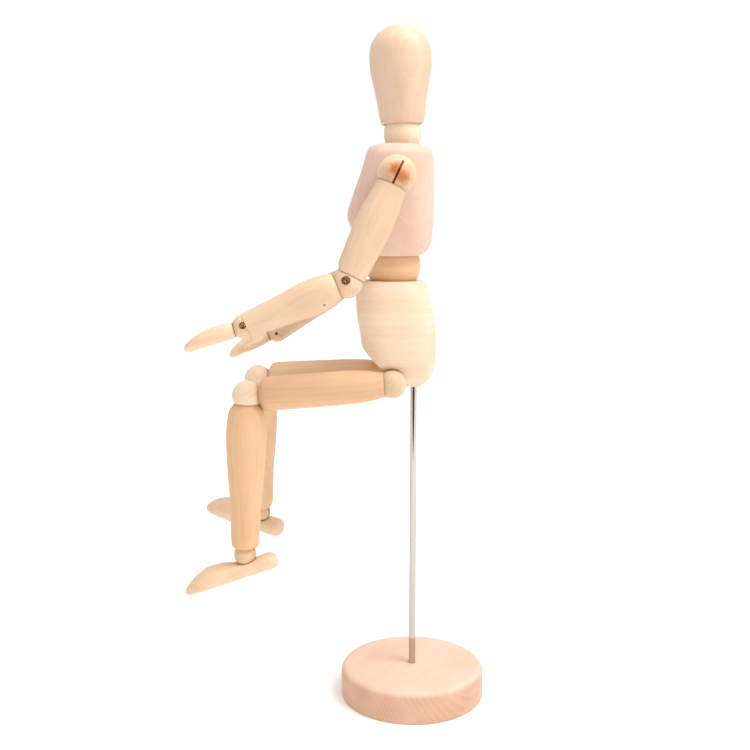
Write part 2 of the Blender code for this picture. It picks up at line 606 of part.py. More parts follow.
def build_leg(word, side, pelvis_frame):
    pose = POSE[word]
    name = word + "_"
    place = Vector((HIP.x, side * HIP.y, HIP.z - PELVIS_BOTTOM))
    across, sideways = Vector((1, 0, 0)), Vector((0, 1, 0))

    hip = frame(name + "hip_frame", pelvis_frame, place, turn("Y", pose["hip"]))
    ball = slotted_ball(name + "hip_ball", hip, HIP_RADIUS, (0, 0, -1), across, side)
    reach = HIP_RADIUS * 0.84
    cut(ball, cylinder(name + "hip_pin_hole", (-20, 0, 0), (20, 0, 0), PIN_HOLE_RADIUS))
    pin(name + "hip_pin", hip, (-reach, 0, 0), (reach, 0, 0))

    thigh = frame(name + "thigh_frame", hip, (0, 0, 0), turn("X", side * pose["splay"]))
    limb(name + "thigh", thigh, THIGH_OUTLINE, THIGH_LENGTH, HIP_RADIUS, KNEE_RADIUS)
    knee_turn = turn("Z", side * pose["knee_turn"])
    spring(name + "thigh_spring", thigh, (0, 0, 0), (0, 0, -THIGH_LENGTH), across, knee_turn @ sideways,
           (HIP_RADIUS + BALL_TO_BARREL, KNEE_RADIUS + BALL_TO_BARREL), (-HOOK_SHIFT, HOOK_SHIFT))

    knee = frame(name + "knee_frame", thigh, (0, 0, -THIGH_LENGTH), knee_turn)
    ball = slotted_ball(name + "knee_ball", knee, KNEE_RADIUS, (1, 0, 0), sideways)
    blind_pin(ball, name + "knee_pin", knee, KNEE_RADIUS, side)

    shin = frame(name + "shin_frame", knee, (0, 0, 0), turn("Y", pose["knee"]))
    limb(name + "shin", shin, SHIN_OUTLINE, SHIN_LENGTH, KNEE_RADIUS, ANKLE_RADIUS)
    ankle_turn = turn("Z", -side * pose["ankle_turn"])
    spring(name + "shin_spring", shin, (0, 0, 0), (0, 0, -SHIN_LENGTH), sideways, ankle_turn @ sideways,
           (KNEE_RADIUS + BALL_TO_BARREL, ANKLE_RADIUS + BALL_TO_BARREL), (-HOOK_SHIFT, HOOK_SHIFT))

    ankle = frame(name + "ankle_frame", shin, (0, 0, -SHIN_LENGTH), ankle_turn)
    ball = slotted_ball(name + "ankle_ball", ankle, ANKLE_RADIUS, (1, 0, 0), sideways)
    blind_pin(ball, name + "ankle_pin", ankle, ANKLE_RADIUS, side)

    foot = frame(name + "foot_frame", ankle, (0, 0, 0), turn("Y", pose["ankle"]))
    build_foot(name, foot)


def build_foot(name, parent):
    """A shoe-shaped foot with a domed instep. Its sole is 13.2 mm below the ankle's centre."""
    sole = -13.2
    sections = [(-42.0, 0.9, 2.4, 1.4), (-40.6, 0.3, 4.6, 4.2), (-37.0, 0, 7.4, 6.8), (-31, 0, 10.3, 8.8), (-24.5, 0, 12.0, 9.6),
                (-17, 0, 11.7, 9.3), (-10, 0, 10.2, 8.3), (-4, 0, 9.3, 7.3), (3, 0, 8.7, 6.8), (9, 0, 9.2, 7.1), (13, 0, 9.2, 7.0),
                (16, 0.3, 8.2, 5.4), (17.4, 1.6, 6.4, 3.0)]
    rings = []
    for x, low, high, half_wide in sections:
        ring = rounded_ring((0, sole + (low + high) / 2), half_wide, (high - low) / 2, 2.7, 16)
        rings.append([(x, y, z) for y, z in ring])
    foot = placed(loft(name + "foot", rings, PALE_WOOD), parent)
    cut(foot, sphere(name + "foot_cup", ANKLE_RADIUS * CUP_FIT))
    stem = 10.5
    cut(foot, cylinder(name + "foot_hook_hole", (0, 0, 0), (0, 0, -stem - 0.5), 0.8, sides=8))
    end_hook(name + "foot_hook", parent, stem)


def build_figure():
    rod_frame = build_stand()
    pelvis_frame = build_pelvis(rod_frame)
    waist_frame = build_waist(pelvis_frame)
    chest_frame = build_chest(waist_frame)
    neck_frame = build_neck(chest_frame)
    build_head(neck_frame)
    build_torso_springs(pelvis_frame, waist_frame, chest_frame, neck_frame)
    for word, side in (("left", LEFT), ("right", RIGHT)):
        build_arm(word, side, chest_frame)
        build_leg(word, side, pelvis_frame)


build_figure()
bpy.context.view_layer.update()
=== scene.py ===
"""Looks for the seated wooden lay figure: fine wood, wire springs, metal pins and a soft studio.

Lengths are in millimetres in the figure's own frame, and M turns them into metres. Joint
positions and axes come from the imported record, so every piece is built where its joint is.
A limb's own frame has its origin on its upper joint, -Z along the limb, -X to the front.
"""

import json
import math

import bmesh
import bpy
import numpy as np
from mathutils import Matrix, Vector


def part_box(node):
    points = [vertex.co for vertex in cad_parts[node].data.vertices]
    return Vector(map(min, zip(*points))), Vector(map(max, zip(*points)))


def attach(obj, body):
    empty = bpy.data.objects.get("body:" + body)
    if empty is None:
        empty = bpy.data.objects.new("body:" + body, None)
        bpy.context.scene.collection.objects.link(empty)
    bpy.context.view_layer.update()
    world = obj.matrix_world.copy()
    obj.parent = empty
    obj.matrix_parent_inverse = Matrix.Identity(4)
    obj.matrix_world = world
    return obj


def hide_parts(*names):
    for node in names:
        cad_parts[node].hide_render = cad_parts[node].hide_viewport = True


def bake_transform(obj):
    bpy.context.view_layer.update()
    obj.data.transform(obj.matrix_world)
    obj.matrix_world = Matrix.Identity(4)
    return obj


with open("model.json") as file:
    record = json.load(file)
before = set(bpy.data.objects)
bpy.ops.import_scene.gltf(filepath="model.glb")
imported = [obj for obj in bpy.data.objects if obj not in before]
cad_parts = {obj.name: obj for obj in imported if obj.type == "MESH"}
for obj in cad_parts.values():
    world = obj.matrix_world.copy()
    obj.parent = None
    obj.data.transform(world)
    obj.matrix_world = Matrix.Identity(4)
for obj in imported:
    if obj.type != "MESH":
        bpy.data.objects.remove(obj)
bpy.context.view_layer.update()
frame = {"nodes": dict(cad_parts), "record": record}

M = 0.001
JOINTS = {joint["name"]: joint for joint in frame["record"]["behaviour"]["joints"]}
SIDE = {"left": -1, "right": 1}
FINE = 72

BALL = {"shoulder": 11.1, "elbow": 8.9, "wrist": 7.1, "hip": 8.45, "knee": 8.8, "ankle": 6.7}
BALL_GAP = 0.6
WAIST_BALL, WAIST_CUP = 16.4, 16.95
NECK_CUP = 12.35
BORE = 3.2
TRUNK_BORE = 3.4
ROD_HOLE = 2.2
PIN_HOLE = 1.05
HEAD_PIN = 16.4
WIRE = 0.28
HOOK_SHIFT = 0.46
HOOK_RING = 1.45
HOOK_GAP = 1.2
COIL_RADIUS = 2.0


# ---------------------------------------------------------------- frames

def joint_place(name):
    return Vector(JOINTS[name]["pos_m"]) / M


def joint_axis(name):
    return Vector(JOINTS[name]["axis"]).normalized()


def axes_frame(origin, y_axis, z_axis):
    """A matrix in millimetres with the given origin, Z axis and (nearly) Y axis."""
    z = Vector(z_axis).normalized()
    x = Vector(y_axis).cross(z).normalized()
    y = z.cross(x)
    spin = Matrix((x, y, z)).transposed().to_4x4()
    return Matrix.Translation(Vector(origin)) @ spin


def node_points(node):
    mesh = frame["nodes"][node].data
    points = np.empty(len(mesh.vertices) * 3)
    mesh.vertices.foreach_get("co", points)
    return points.reshape(-1, 3) / M


def farthest_point(node, origin):
    points = node_points(node)
    return Vector(points[np.argmax(np.linalg.norm(points - np.array(origin), axis=1))])


# from the trunk to the tip: the joint that raises it, and its balls and blocks
LIMBS = (("arm_raise", "shoulder", "upper_arm", "elbow", "forearm", "wrist", "hand"),
         ("leg_raise", "hip", "thigh", "knee", "shin", "ankle", "foot"))


def figure_frames():
    """The frame of every moving body, from the record's joints."""
    frames = {}
    up = Vector((0, 0, 1))
    across = Vector((0, 1, 0))
    frames["stand"] = axes_frame((0, 0, 0), across, up)
    frames["waist"] = axes_frame(joint_place("waist_bend"), across, up)
    frames["neck"] = axes_frame(joint_place("neck_nod"), across, up)
    frames["head"] = axes_frame(joint_place("head_turn"), across, joint_axis("head_turn"))
    for word, side in SIDE.items():
        for limb in LIMBS:
            raising, top, upper, middle, lower, tip, end = (f"{word}_{part}" for part in limb)
            top_spot, middle_spot = joint_place(top + "_swing"), joint_place(middle + "_bend")
            tip_spot = joint_place(tip + "_bend")
            front = joint_axis(raising) * side
            middle_y, tip_y = joint_axis(middle + "_bend"), joint_axis(tip + "_bend")
            upper_up, lower_up = top_spot - middle_spot, middle_spot - tip_spot
            end_up = tip_spot - farthest_point(end + "_hook", tip_spot)
            frames[top] = axes_frame(top_spot, across, front.cross(across))
            frames[upper] = axes_frame(top_spot, upper_up.cross(front), upper_up)
            frames[middle] = axes_frame(middle_spot, middle_y, upper_up)
            frames[lower] = axes_frame(middle_spot, middle_y, lower_up)
            frames[tip] = axes_frame(tip_spot, tip_y, lower_up)
            frames[end] = axes_frame(tip_spot, tip_y, end_up)
    return frames


FRAMES = figure_frames()
LENGTH = {
    "upper_arm": (joint_place("left_elbow_bend") - joint_place("left_shoulder_swing")).length,
    "forearm": (joint_place("left_wrist_bend") - joint_place("left_elbow_bend")).length,
    "thigh": (joint_place("left_knee_bend") - joint_place("left_hip_swing")).length,
    "shin": (joint_place("left_ankle_bend") - joint_place("left_knee_bend")).length,
}


# ---------------------------------------------------------------- shapes

def curve_through(points, steps):
    """A smooth curve through points, with the given number of samples in each span."""
    points = np.array(points, float)
    spans = np.diff(points[:, 0])[:, None]
    slopes = np.diff(points, axis=0) / spans
    tangents = np.vstack([slopes[:1], slopes[:-1], slopes[-1:]])[:len(points)]
    for i in range(1, len(points) - 1):
        before, after = slopes[i - 1], slopes[i]
        first, last = 2 * spans[i] + spans[i - 1], spans[i] + 2 * spans[i - 1]
        same = before * after > 0
        safe = np.where(same, first / np.where(same, before, 1) + last / np.where(same, after, 1), 1)
        tangents[i] = np.where(same, (first + last) / safe, 0)
    tangents[0], tangents[-1] = slopes[0], slopes[-1]
    result = []
    for i in range(len(points) - 1):
        span = points[i + 1, 0] - points[i, 0]
        for step in range(steps):
            t = step / steps
            a, b = 2 * t**3 - 3 * t**2 + 1, t**3 - 2 * t**2 + t
            c, d = -2 * t**3 + 3 * t**2, t**3 - t**2
            point = a * points[i] + b * span * tangents[i] + c * points[i + 1]
            result.append(point + d * span * tangents[i + 1])
    result.append(points[-1])
    return np.array(result)


def soften_corners(points, radius, closed=True, steps=4):
    """Rounds the corners of a polyline that turn by more than 25 degrees."""
    points = [Vector(point) for point in points]
    count = len(points)
    result = []
    for i, corner in enumerate(points):
        if not closed and i in (0, count - 1):
            result.append(corner)
            continue
        before, after = points[i - 1] - corner, points[(i + 1) % count] - corner
        if before.length < 1e-6 or after.length < 1e-6:
            continue
        if before.angle(after) > math.radians(155):
            result.append(corner)
            continue
        reach = min(radius, before.length * 0.45, after.length * 0.45)
        first, last = corner + before.normalized() * reach, corner + after.normalized() * reach
        for step in range(steps + 1):
            t = step / steps
            result.append((1 - t) ** 2 * first + 2 * t * (1 - t) * corner + t**2 * last)
    return result


def make_object(name, vertices, faces, place):
    """A smooth-shaded object in millimetres, placed by a millimetre matrix."""
    mesh = bpy.data.meshes.new(name)
    mesh.from_pydata([tuple(vertex) for vertex in vertices], [], [tuple(face) for face in faces])
    build = bmesh.new()
    build.from_mesh(mesh)
    bmesh.ops.remove_doubles(build, verts=build.verts, dist=1e-5)
    bmesh.ops.recalc_face_normals(build, faces=build.faces)
    build.to_mesh(mesh)
    build.free()
    mesh.transform(Matrix.Scale(M, 4))
    piece = bpy.data.objects.new(name, mesh)
    bpy.context.scene.collection.objects.link(piece)
    piece.matrix_world = Matrix.Translation(place.translation * M) @ place.to_3x3().to_4x4()
    return piece


def lathe(name, outline, place, sides=FINE, closed=False):
    """Turns (radius, height) points about Z: closed joins the outline's ends, for a bored piece."""
    outline = [(max(radius, 0.0), height) for radius, height in outline]
    vertices, faces = [], []
    for radius, height in outline:
        for side in range(sides):
            angle = 2 * math.pi * side / sides
            vertices.append((radius * math.cos(angle), radius * math.sin(angle), height))
    rows = len(outline)
    for row in range(rows if closed else rows - 1):
        upper, lower = row * sides, ((row + 1) % rows) * sides
        for side in range(sides):
            following = (side + 1) % sides
            faces.append((upper + side, upper + following, lower + following, lower + side))
    return make_object(name, vertices, faces, place)


def loft(name, rings, place):
    """A solid through rings, closed at both ends by fans."""
    count = len(rings[0])
    vertices = [point for ring in rings for point in ring]
    faces = []
    for row in range(len(rings) - 1):
        for i in range(count):
            following = (i + 1) % count
            lower, upper = row * count, (row + 1) * count
            faces.append((lower + i, lower + following, upper + following, upper + i))
    for row in (0, len(rings) - 1):
        centre = len(vertices)
        vertices.append(tuple(np.mean(rings[row], axis=0)))
        for i in range(count):
            faces.append((row * count + i, row * count + (i + 1) % count, centre))
    return make_object(name, vertices, faces, place)


def superellipse(half_a, half_b, squareness, count):
    """Evenly spread points on a rounded rectangle: 2 is an ellipse, and more is squarer."""
    angles = np.linspace(0, 2 * math.pi, 720, endpoint=False)
    c, s = np.cos(angles), np.sin(angles)
    a = half_a * np.sign(c) * np.abs(c) ** (2 / squareness)
    b = half_b * np.sign(s) * np.abs(s) ** (2 / squareness)
    run = np.cumsum(np.hypot(np.diff(a, append=a[0]), np.diff(b, append=b[0])))
    run = np.concatenate([[0], run])
    spots = np.linspace(0, run[-1], count, endpoint=False)
    a, b = np.append(a, a[0]), np.append(b, b[0])
    return np.interp(spots, run, a), np.interp(spots, run, b)


def section_rings(sections, count, steps):
    """Torso rings from (height, front, back, half width, squareness), smoothed along the height."""
    rings = []
    for height, front, back, half_width, squareness in curve_through(sections, steps):
        a, b = superellipse((back - front) / 2, half_width, squareness, count)
        rings.append([(x + (front + back) / 2, y, height) for x, y in zip(a, b)])
    return rings


def half_circle(radius, steps):
    """A ball's outline from top to bottom, to be turned."""
    angles = [math.pi * i / steps for i in range(steps + 1)]
    return [(radius * math.sin(angle), radius * math.cos(angle)) for angle in angles]


def ball_cutter(radius, centre, place, sides=64):
    return lathe("cutter", half_circle(radius, 40), place @ Matrix.Translation(Vector(centre)), sides)


def bar_cutter(radius, start, end, place, sides=32):
    start, end = Vector(start), Vector(end)
    spin = (end - start).to_track_quat("Z", "Y").to_matrix().to_4x4()
    length = (end - start).length
    outline = [(0, 0), (radius, 0), (radius, length), (0, length)]
    return lathe("cutter", outline, place @ Matrix.Translation(start) @ spin, sides)


def block_cutter(low, high, place, spin=None):
    low, high = Vector(low), Vector(high)
    middle = (low + high) / 2
    corners = [(x, y, z) for x in (-0.5, 0.5) for y in (-0.5, 0.5) for z in (-0.5, 0.5)]
    size = high - low
    vertices = [(x * size.x, y * size.y, z * size.z) for x, y, z in corners]
    faces = [(0, 1, 3, 2), (4, 6, 7, 5), (0, 4, 5, 1), (2, 3, 7, 6), (0, 2, 6, 4), (1, 5, 7, 3)]
    where = place @ Matrix.Translation(middle) @ (spin or Matrix.Identity(4))
    return make_object("cutter", vertices, faces, where)


def apply_modifiers(piece):
    bpy.context.view_layer.update()
    evaluated = piece.evaluated_get(bpy.context.evaluated_depsgraph_get())
    mesh = bpy.data.meshes.new_from_object(evaluated)
    piece.modifiers.clear()
    old = piece.data
    piece.data = mesh
    bpy.data.meshes.remove(old)


def carve(piece, cutters, operation="DIFFERENCE"):
    """Cuts or joins with each cutter, and removes the cutters."""
    for cutter in cutters:
        modifier = piece.modifiers.new("carve", "BOOLEAN")
        modifier.operation = operation
        modifier.solver = "EXACT"
        modifier.object = cutter
    apply_modifiers(piece)
    for cutter in cutters:
        bpy.data.objects.remove(cutter, do_unlink=True)
    return piece


def soften(piece, voxel, rounds):
    """Rebuilds a carved piece as an even mesh and rounds its edges, as sanding does."""
    remesh = piece.modifiers.new("remesh", "REMESH")
    remesh.mode = "VOXEL"
    remesh.voxel_size = voxel * M
    smooth = piece.modifiers.new("smooth", "SMOOTH")
    smooth.factor = 0.5
    smooth.iterations = rounds
    apply_modifiers(piece)
    return piece


def finish_piece(piece, material, body, nodes, sharp=32):
    """Shades a piece, gives it its material, and hangs it on its body in place of its CAD nodes."""
    piece.data.shade_smooth()
    piece.data.set_sharp_from_angle(angle=math.radians(sharp))
    piece.data.materials.clear()
    piece.data.materials.append(material)
    if body:
        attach(piece, body)
    if nodes:
        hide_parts(*nodes)
    return piece


# ---------------------------------------------------------------- materials

def new_material(name):
    material = bpy.data.materials.new(name)
    material.use_nodes = True
    tree = material.node_tree
    return material, tree, tree.nodes["Principled BSDF"]


def node(tree, kind, **settings):
    """A new node. A socket given for an input is linked to it, and any other value is set."""
    made = tree.nodes.new(kind)
    for key, value in settings.items():
        if key not in made.inputs:
            setattr(made, key, value)
        elif isinstance(value, bpy.types.NodeSocket):
            tree.links.new(value, made.inputs[key])
        else:
            made.inputs[key].default_value = value
    return made


def set_inputs(shader, **values):
    for key, value in values.items():
        shader.inputs[key.replace("_", " ")].default_value = value


def math_node(tree, operation, a, b=None, c=None, clamp=False):
    made = tree.nodes.new("ShaderNodeMath")
    made.operation = operation
    made.use_clamp = clamp
    for socket, value in zip(made.inputs, (a, b, c)):
        if value is None:
            continue
        if isinstance(value, (int, float)):
            socket.default_value = value
        else:
            tree.links.new(value, socket)
    return made.outputs[0]


def ramp(tree, value, low, high):
    """0 below low, 1 above high, and smooth between."""
    limits = {"From Min": low, "From Max": high}
    made = node(tree, "ShaderNodeMapRange", interpolation_type="SMOOTHSTEP", Value=value, **limits)
    return made.outputs["Result"]


def mix_color(tree, factor, a, b, blend="MIX"):
    made = node(tree, "ShaderNodeMix", data_type="RGBA", blend_type=blend)
    for socket, value in ((made.inputs["Factor"], factor), (made.inputs["A"], a), (made.inputs["B"], b)):
        if isinstance(value, (tuple, list)):
            socket.default_value = (*value, 1.0)
        elif isinstance(value, (int, float)):
            socket.default_value = value
        else:
            tree.links.new(value, socket)
    return made.outputs["Result"]


def vector_node(tree, operation, a, b=None, result="Vector"):
    made = node(tree, "ShaderNodeVectorMath", operation=operation)
    tree.links.new(a, made.inputs[0])
    if b is not None:
        made.inputs[1].default_value = b
    return made.outputs[result]


def distance_node(tree, vector, stretch=(1, 1, 1), centre=(0, 0, 0)):
    """The distance from centre, with each axis stretched."""
    moved = vector_node(tree, "SUBTRACT", vector, centre)
    return vector_node(tree, "LENGTH", vector_node(tree, "MULTIPLY", moved, stretch), result="Value")


def coordinates(tree, scale, spin=(0, 0, 0), shift=(0, 0, 0)):
    """The piece's own coordinates in millimetres, turned, moved and stretched."""
    source = tree.nodes.new("ShaderNodeTexCoord").outputs["Object"]
    spin = [math.radians(angle) for angle in spin]
    turn = node(tree, "ShaderNodeMapping", Vector=source, Location=shift, Rotation=spin, Scale=(1 / M,) * 3)
    return node(tree, "ShaderNodeMapping", Vector=turn.outputs["Vector"], Scale=scale).outputs["Vector"]


def noise(tree, vector, detail, roughness):
    made = node(tree, "ShaderNodeTexNoise", Vector=vector, Scale=1.0, Detail=detail, Roughness=roughness)
    return made.outputs["Fac"]


def add_bump(tree, shader, height, strength, depth):
    bump = node(tree, "ShaderNodeBump", Strength=strength, Distance=depth, Height=height)
    tree.links.new(bump.outputs["Normal"], shader.inputs["Normal"])


def wood(name, tone, seed, spin=(0, 0, 0), ring_gap=3.0, ring_depth=0.3, grain_depth=0.35, fleck_depth=0.18,
         rough=0.5, pith=(55, None), spots=(), scorch=None, edge=None):
    """Sanded pale wood with its grain along the piece's Z, before spin: rings, fibres, pores and flecks.

    tone is the mean colour. pith is the distance and direction, in degrees, of the rings' middle.
    spots are small knots as (x, y, z, radius, strength). scorch is how strongly a ball is browned
    beside its slot, with the ball's radius. edge darkens the upright faces by that factor, as painted
    shade that makes the sides darker than the lit top, and keeps the ring lines to them."""
    light = tuple(min(0.93, channel * scale) for channel, scale in zip(tone, (1.04, 1.06, 1.09)))
    dark = tuple(channel * scale for channel, scale in zip(tone, (0.90, 0.83, 0.75)))
    material, tree, shader = new_material(name)
    generator = np.random.default_rng(seed)
    shift = tuple(generator.uniform(-60, 60, 3))
    random_angle = generator.uniform(0, 2 * math.pi)
    angle = random_angle if pith[1] is None else math.radians(pith[1])
    ring_shift = (pith[0] * math.cos(angle), pith[0] * math.sin(angle), shift[2])
    wave = node(tree, "ShaderNodeTexWave", wave_type="RINGS", rings_direction="Z", wave_profile="SAW",
                Vector=coordinates(tree, (1, 1, 0.1), spin, ring_shift))
    set_inputs(wave, Scale=0.314 / ring_gap, Distortion=1.1, Detail=2.0, Detail_Scale=0.4)
    fibres = noise(tree, coordinates(tree, (2.2, 2.2, 0.05), spin, shift), 5.0, 0.6)
    pores = noise(tree, coordinates(tree, (6.5, 6.5, 0.45), spin, shift), 2.0, 0.5)
    clouds = noise(tree, coordinates(tree, (0.07, 0.07, 0.025), spin, shift), 2.0, 0.5)
    broad = math_node(tree, "MULTIPLY", ramp(tree, clouds, 0.35, 0.7), 0.4)
    grain = math_node(tree, "MULTIPLY", ramp(tree, fibres, 0.36, 0.72), grain_depth)
    rings = math_node(tree, "MULTIPLY", wave.outputs["Fac"], ring_depth)
    if edge:
        normal = tree.nodes.new("ShaderNodeTexCoord").outputs["Normal"]
        facing = node(tree, "ShaderNodeSeparateXYZ", Vector=normal)
        upright = math_node(tree, "SUBTRACT", 1.0, ramp(tree, facing.outputs["Z"], 0.15, 0.9))
        patches = noise(tree, coordinates(tree, (0.05, 0.05, 0.05), spin, shift), 2.0, 0.5)
        uneven = math_node(tree, "MULTIPLY_ADD", ramp(tree, patches, 0.4, 0.62), 0.85, 0.15)
        shown = math_node(tree, "MULTIPLY_ADD", math_node(tree, "MULTIPLY", upright, uneven), 0.9, 0.1)
        rings = math_node(tree, "MULTIPLY", rings, shown)
    factor = math_node(tree, "ADD", math_node(tree, "ADD", broad, grain), rings, clamp=True)
    color = mix_color(tree, factor, light, dark)
    # painted shade: edge multiplies the colour of the upright faces, so the sides look darker than the lit
    # top
    if edge:
        color = mix_color(tree, upright, color, mix_color(tree, 1.0, color, edge, "MULTIPLY"))
    flecks = math_node(tree, "MULTIPLY", ramp(tree, pores, 0.62, 0.74), fleck_depth)
    color = mix_color(tree, flecks, color, tuple(channel * 0.6 for channel in dark))
    place = coordinates(tree, (1, 1, 1))
    for x, y, z, radius, strength in spots:
        away = vector_node(tree, "DISTANCE", place, (x, y, z), "Value")
        inside = math_node(tree, "SUBTRACT", 1.0, ramp(tree, away, radius * 0.35, radius))
        color = mix_color(tree, math_node(tree, "MULTIPLY", inside, strength), color, (0.13, 0.10, 0.06))
    if scorch:
        burn = math_node(tree, "MULTIPLY", burn_mask(tree, place, shift), scorch[0], clamp=True)
        color = mix_color(tree, burn, color, (0.46, 0.155, 0.025))
        inside = math_node(tree, "LESS_THAN", distance_node(tree, place), scorch[1] - 0.3)
        color = mix_color(tree, inside, color, (0.58, 0.24, 0.06))
        shine = math_node(tree, "MULTIPLY_ADD", inside, -0.4, 0.4)
        tree.links.new(shine, shader.inputs["Specular IOR Level"])
    tree.links.new(color, shader.inputs["Base Color"])
    roughness = math_node(tree, "MULTIPLY_ADD", fibres, 0.22, rough - 0.1)
    tree.links.new(roughness, shader.inputs["Roughness"])
    if not scorch:
        shader.inputs["Specular IOR Level"].default_value = 0.4
    set_inputs(shader, Subsurface_Weight=0.1, Subsurface_Radius=(1.0, 0.45, 0.2), Subsurface_Scale=0.001)
    height = math_node(tree, "SUBTRACT", fibres, math_node(tree, "MULTIPLY", flecks, 1.2))
    add_bump(tree, shader, height, 0.25, 0.00006)
    return material


# each lobe's centre, the distances where it starts and ends fading, and its strength
BURN_LOBES = [((0.6, 0, -0.4), 4.0, 14.5, 0.5), ((-1.6, 0, 2.0), 1.4, 7.2, 1.0),
              ((3.0, 0, -0.2), 1.4, 7.8, 0.95)]


def burn_mask(tree, place, shift):
    """1 in a lobe each side of the slot's middle, where the saw has browned the ball, and weaker around."""
    mottled = noise(tree, coordinates(tree, (0.5, 0.5, 0.34), shift=shift), 3.0, 0.6)
    ragged = math_node(tree, "MULTIPLY_ADD", mottled, -5.0, 2.5)
    result = None
    for centre, inner, outer, strength in BURN_LOBES:
        away = math_node(tree, "ADD", distance_node(tree, place, (1, 0, 1), centre), ragged)
        inside = math_node(tree, "SUBTRACT", 1.0, ramp(tree, away, inner, outer))
        lobe = math_node(tree, "MULTIPLY", inside, strength)
        result = lobe if result is None else math_node(tree, "MAXIMUM", result, lobe)
    return result


def metal(name, color, dark, rough, stretch=(1.5, 1.5, 1.5), patchy=0.4, patch=(0.9, 0.9, 0.9), rim=None,
          uneven=0.2):
    """Metal with fine drawing marks and dark patches in its colour: tarnish on the steel, and painted dark
    reflections on the bronze of the rivets. rim tints what it reflects at its edges.
    """
    material, tree, shader = new_material(name)
    marks = noise(tree, coordinates(tree, stretch), 4.0, 0.6)
    patches = noise(tree, coordinates(tree, patch), 3.0, 0.6)
    factor = math_node(tree, "MULTIPLY", ramp(tree, patches, 0.35, 0.7), patchy)
    tree.links.new(mix_color(tree, factor, color, dark), shader.inputs["Base Color"])
    shader.inputs["Metallic"].default_value = 1.0
    tree.links.new(math_node(tree, "MULTIPLY_ADD", marks, uneven, rough), shader.inputs["Roughness"])
    if rim:
        shader.inputs["Specular Tint"].default_value = (*rim, 1)
    add_bump(tree, shader, marks, 0.2, 0.00003)
    return material


HEAD_TONE = (0.71, 0.50, 0.355)
NECK_TONE = (0.83, 0.645, 0.47)
CHEST_TONE = (0.72, 0.51, 0.40)
WAIST_TONE = (0.72, 0.455, 0.26)
PELVIS_TONE = (0.80, 0.605, 0.44)
ARM_TONE = (0.715, 0.505, 0.34)
THIGH_TONE = {"left": (0.685, 0.435, 0.25), "right": (0.67, 0.45, 0.275)}
SHIN_TONE = {"left": (0.755, 0.475, 0.265), "right": (0.74, 0.51, 0.32)}
BALL_TONE = {"shoulder": (0.80, 0.59, 0.40), "hip": (0.72, 0.53, 0.365), "knee": (0.83, 0.625, 0.46),
             "ankle": (0.735, 0.51, 0.305)}
HAND_TONE = (0.80, 0.59, 0.41)
FOOT_TONE = {"left": (0.80, 0.575, 0.37), "right": (0.82, 0.595, 0.415)}
BASE_TONE = (0.825, 0.57, 0.43)

ROD_STEEL = metal("rod_steel", (0.54, 0.49, 0.445), (0.44, 0.39, 0.34), 0.03, (9, 9, 0.15), 0.4,
                  rim=(0.62, 0.56, 0.5), uneven=0.1)
PIN_STEEL = metal("pin_steel", (0.66, 0.66, 0.67), (0.45, 0.44, 0.43), 0.2)
WIRE_STEEL = metal("wire_steel", (0.55, 0.55, 0.56), (0.38, 0.37, 0.36), 0.28)
# The rivets' bronze: its own colour, with near black patches that are painted dark reflections.
BRONZE = metal("rivet_bronze", (0.55, 0.27, 0.07), (0.03, 0.009, 0.003), 0.12, (4, 4, 4), 1.25,
               (1.3, 1.3, 1.3))


# ---------------------------------------------------------------- wooden pieces

def build_limb(name, kind, outline, upper, lower, material, notch=False):
    """A turned limb with a cup at each end and a bore for its spring."""
    length = LENGTH[kind]
    curve = curve_through(outline, 6)
    points = [(radius, -distance) for distance, radius in curve]
    lower_cup, upper_cup = BALL[lower] + BALL_GAP, BALL[upper] + BALL_GAP

    def cup_arc(cup, centre, edge, away):
        start = math.asin(min(1.0, abs(edge - centre) / cup))
        end = math.acos(BORE / cup)
        arc = []
        for step in range(15):
            angle = start + (end - start) * step / 14
            arc.append((cup * math.cos(angle), -(centre + away * cup * math.sin(angle))))
        return arc

    points += cup_arc(lower_cup, length, outline[-1][0], -1)
    points += list(reversed(cup_arc(upper_cup, 0, outline[0][0], 1)))
    points = soften_corners(points, 0.38)
    piece = lathe(name, points, FRAMES[name], FINE, closed=True)
    if notch:
        corner = Vector((-7.25, 0, -(length - 5.6)))
        normal = Vector((-0.79, 0, -0.61)).normalized()
        spin = normal.to_track_quat("Z", "Y").to_matrix().to_4x4()
        half = Vector((15, 15, 15))
        centre = corner + normal * half.x
        carve(piece, [block_cutter(centre - half, centre + half, FRAMES[name], spin)])
    return finish_piece(piece, material, name, [name])


# a shallow saw cut's steps: how high each reaches, and how far its floor is from the ball's centre, in radii
GROOVE_STEPS = [(0.72, 0.64), (0.3, 0.53), (0.05, 0.43)]


def build_ball(name, body, radius, open_side, pin_axis, material, holes, slot=1.6, closed_side=0,
               groove=False):
    """A joint ball with its saw slot, and with a hole for its pin or rivet.

    closed_side is the side that the deep slot doesn't reach, and groove says that a shallow saw cut does."""
    place = FRAMES[body]
    piece = lathe(name, half_circle(radius, 48), place, FINE)
    far = radius * 1.2
    low, high = Vector((-far, -far, -far)), Vector((far, far, far))
    for axis in range(3):
        if abs(pin_axis[axis]) > 0.5:
            low[axis], high[axis] = -slot / 2, slot / 2
        if open_side[axis] > 0.5:
            low[axis] = -0.72 * radius
        if open_side[axis] < -0.5:
            high[axis] = 0.72 * radius
    cutters = []
    if groove:
        for top, floor in GROOVE_STEPS:
            top, floor = top * radius, floor * radius
            rows = sorted((closed_side * far, closed_side * floor))
            cutters.append(block_cutter((low.x, rows[0], -far), (high.x, rows[1], top), place))
    if closed_side:
        depth = (0.35 if groove else 0.5) * radius
        low.y, high.y = (-depth, far) if closed_side < 0 else (-far, depth)
    cutters.append(block_cutter(low, high, place))
    cutters += [bar_cutter(hole, start, end, place) for hole, start, end in holes]
    carve(piece, cutters)
    return finish_piece(piece, material, body, [name])


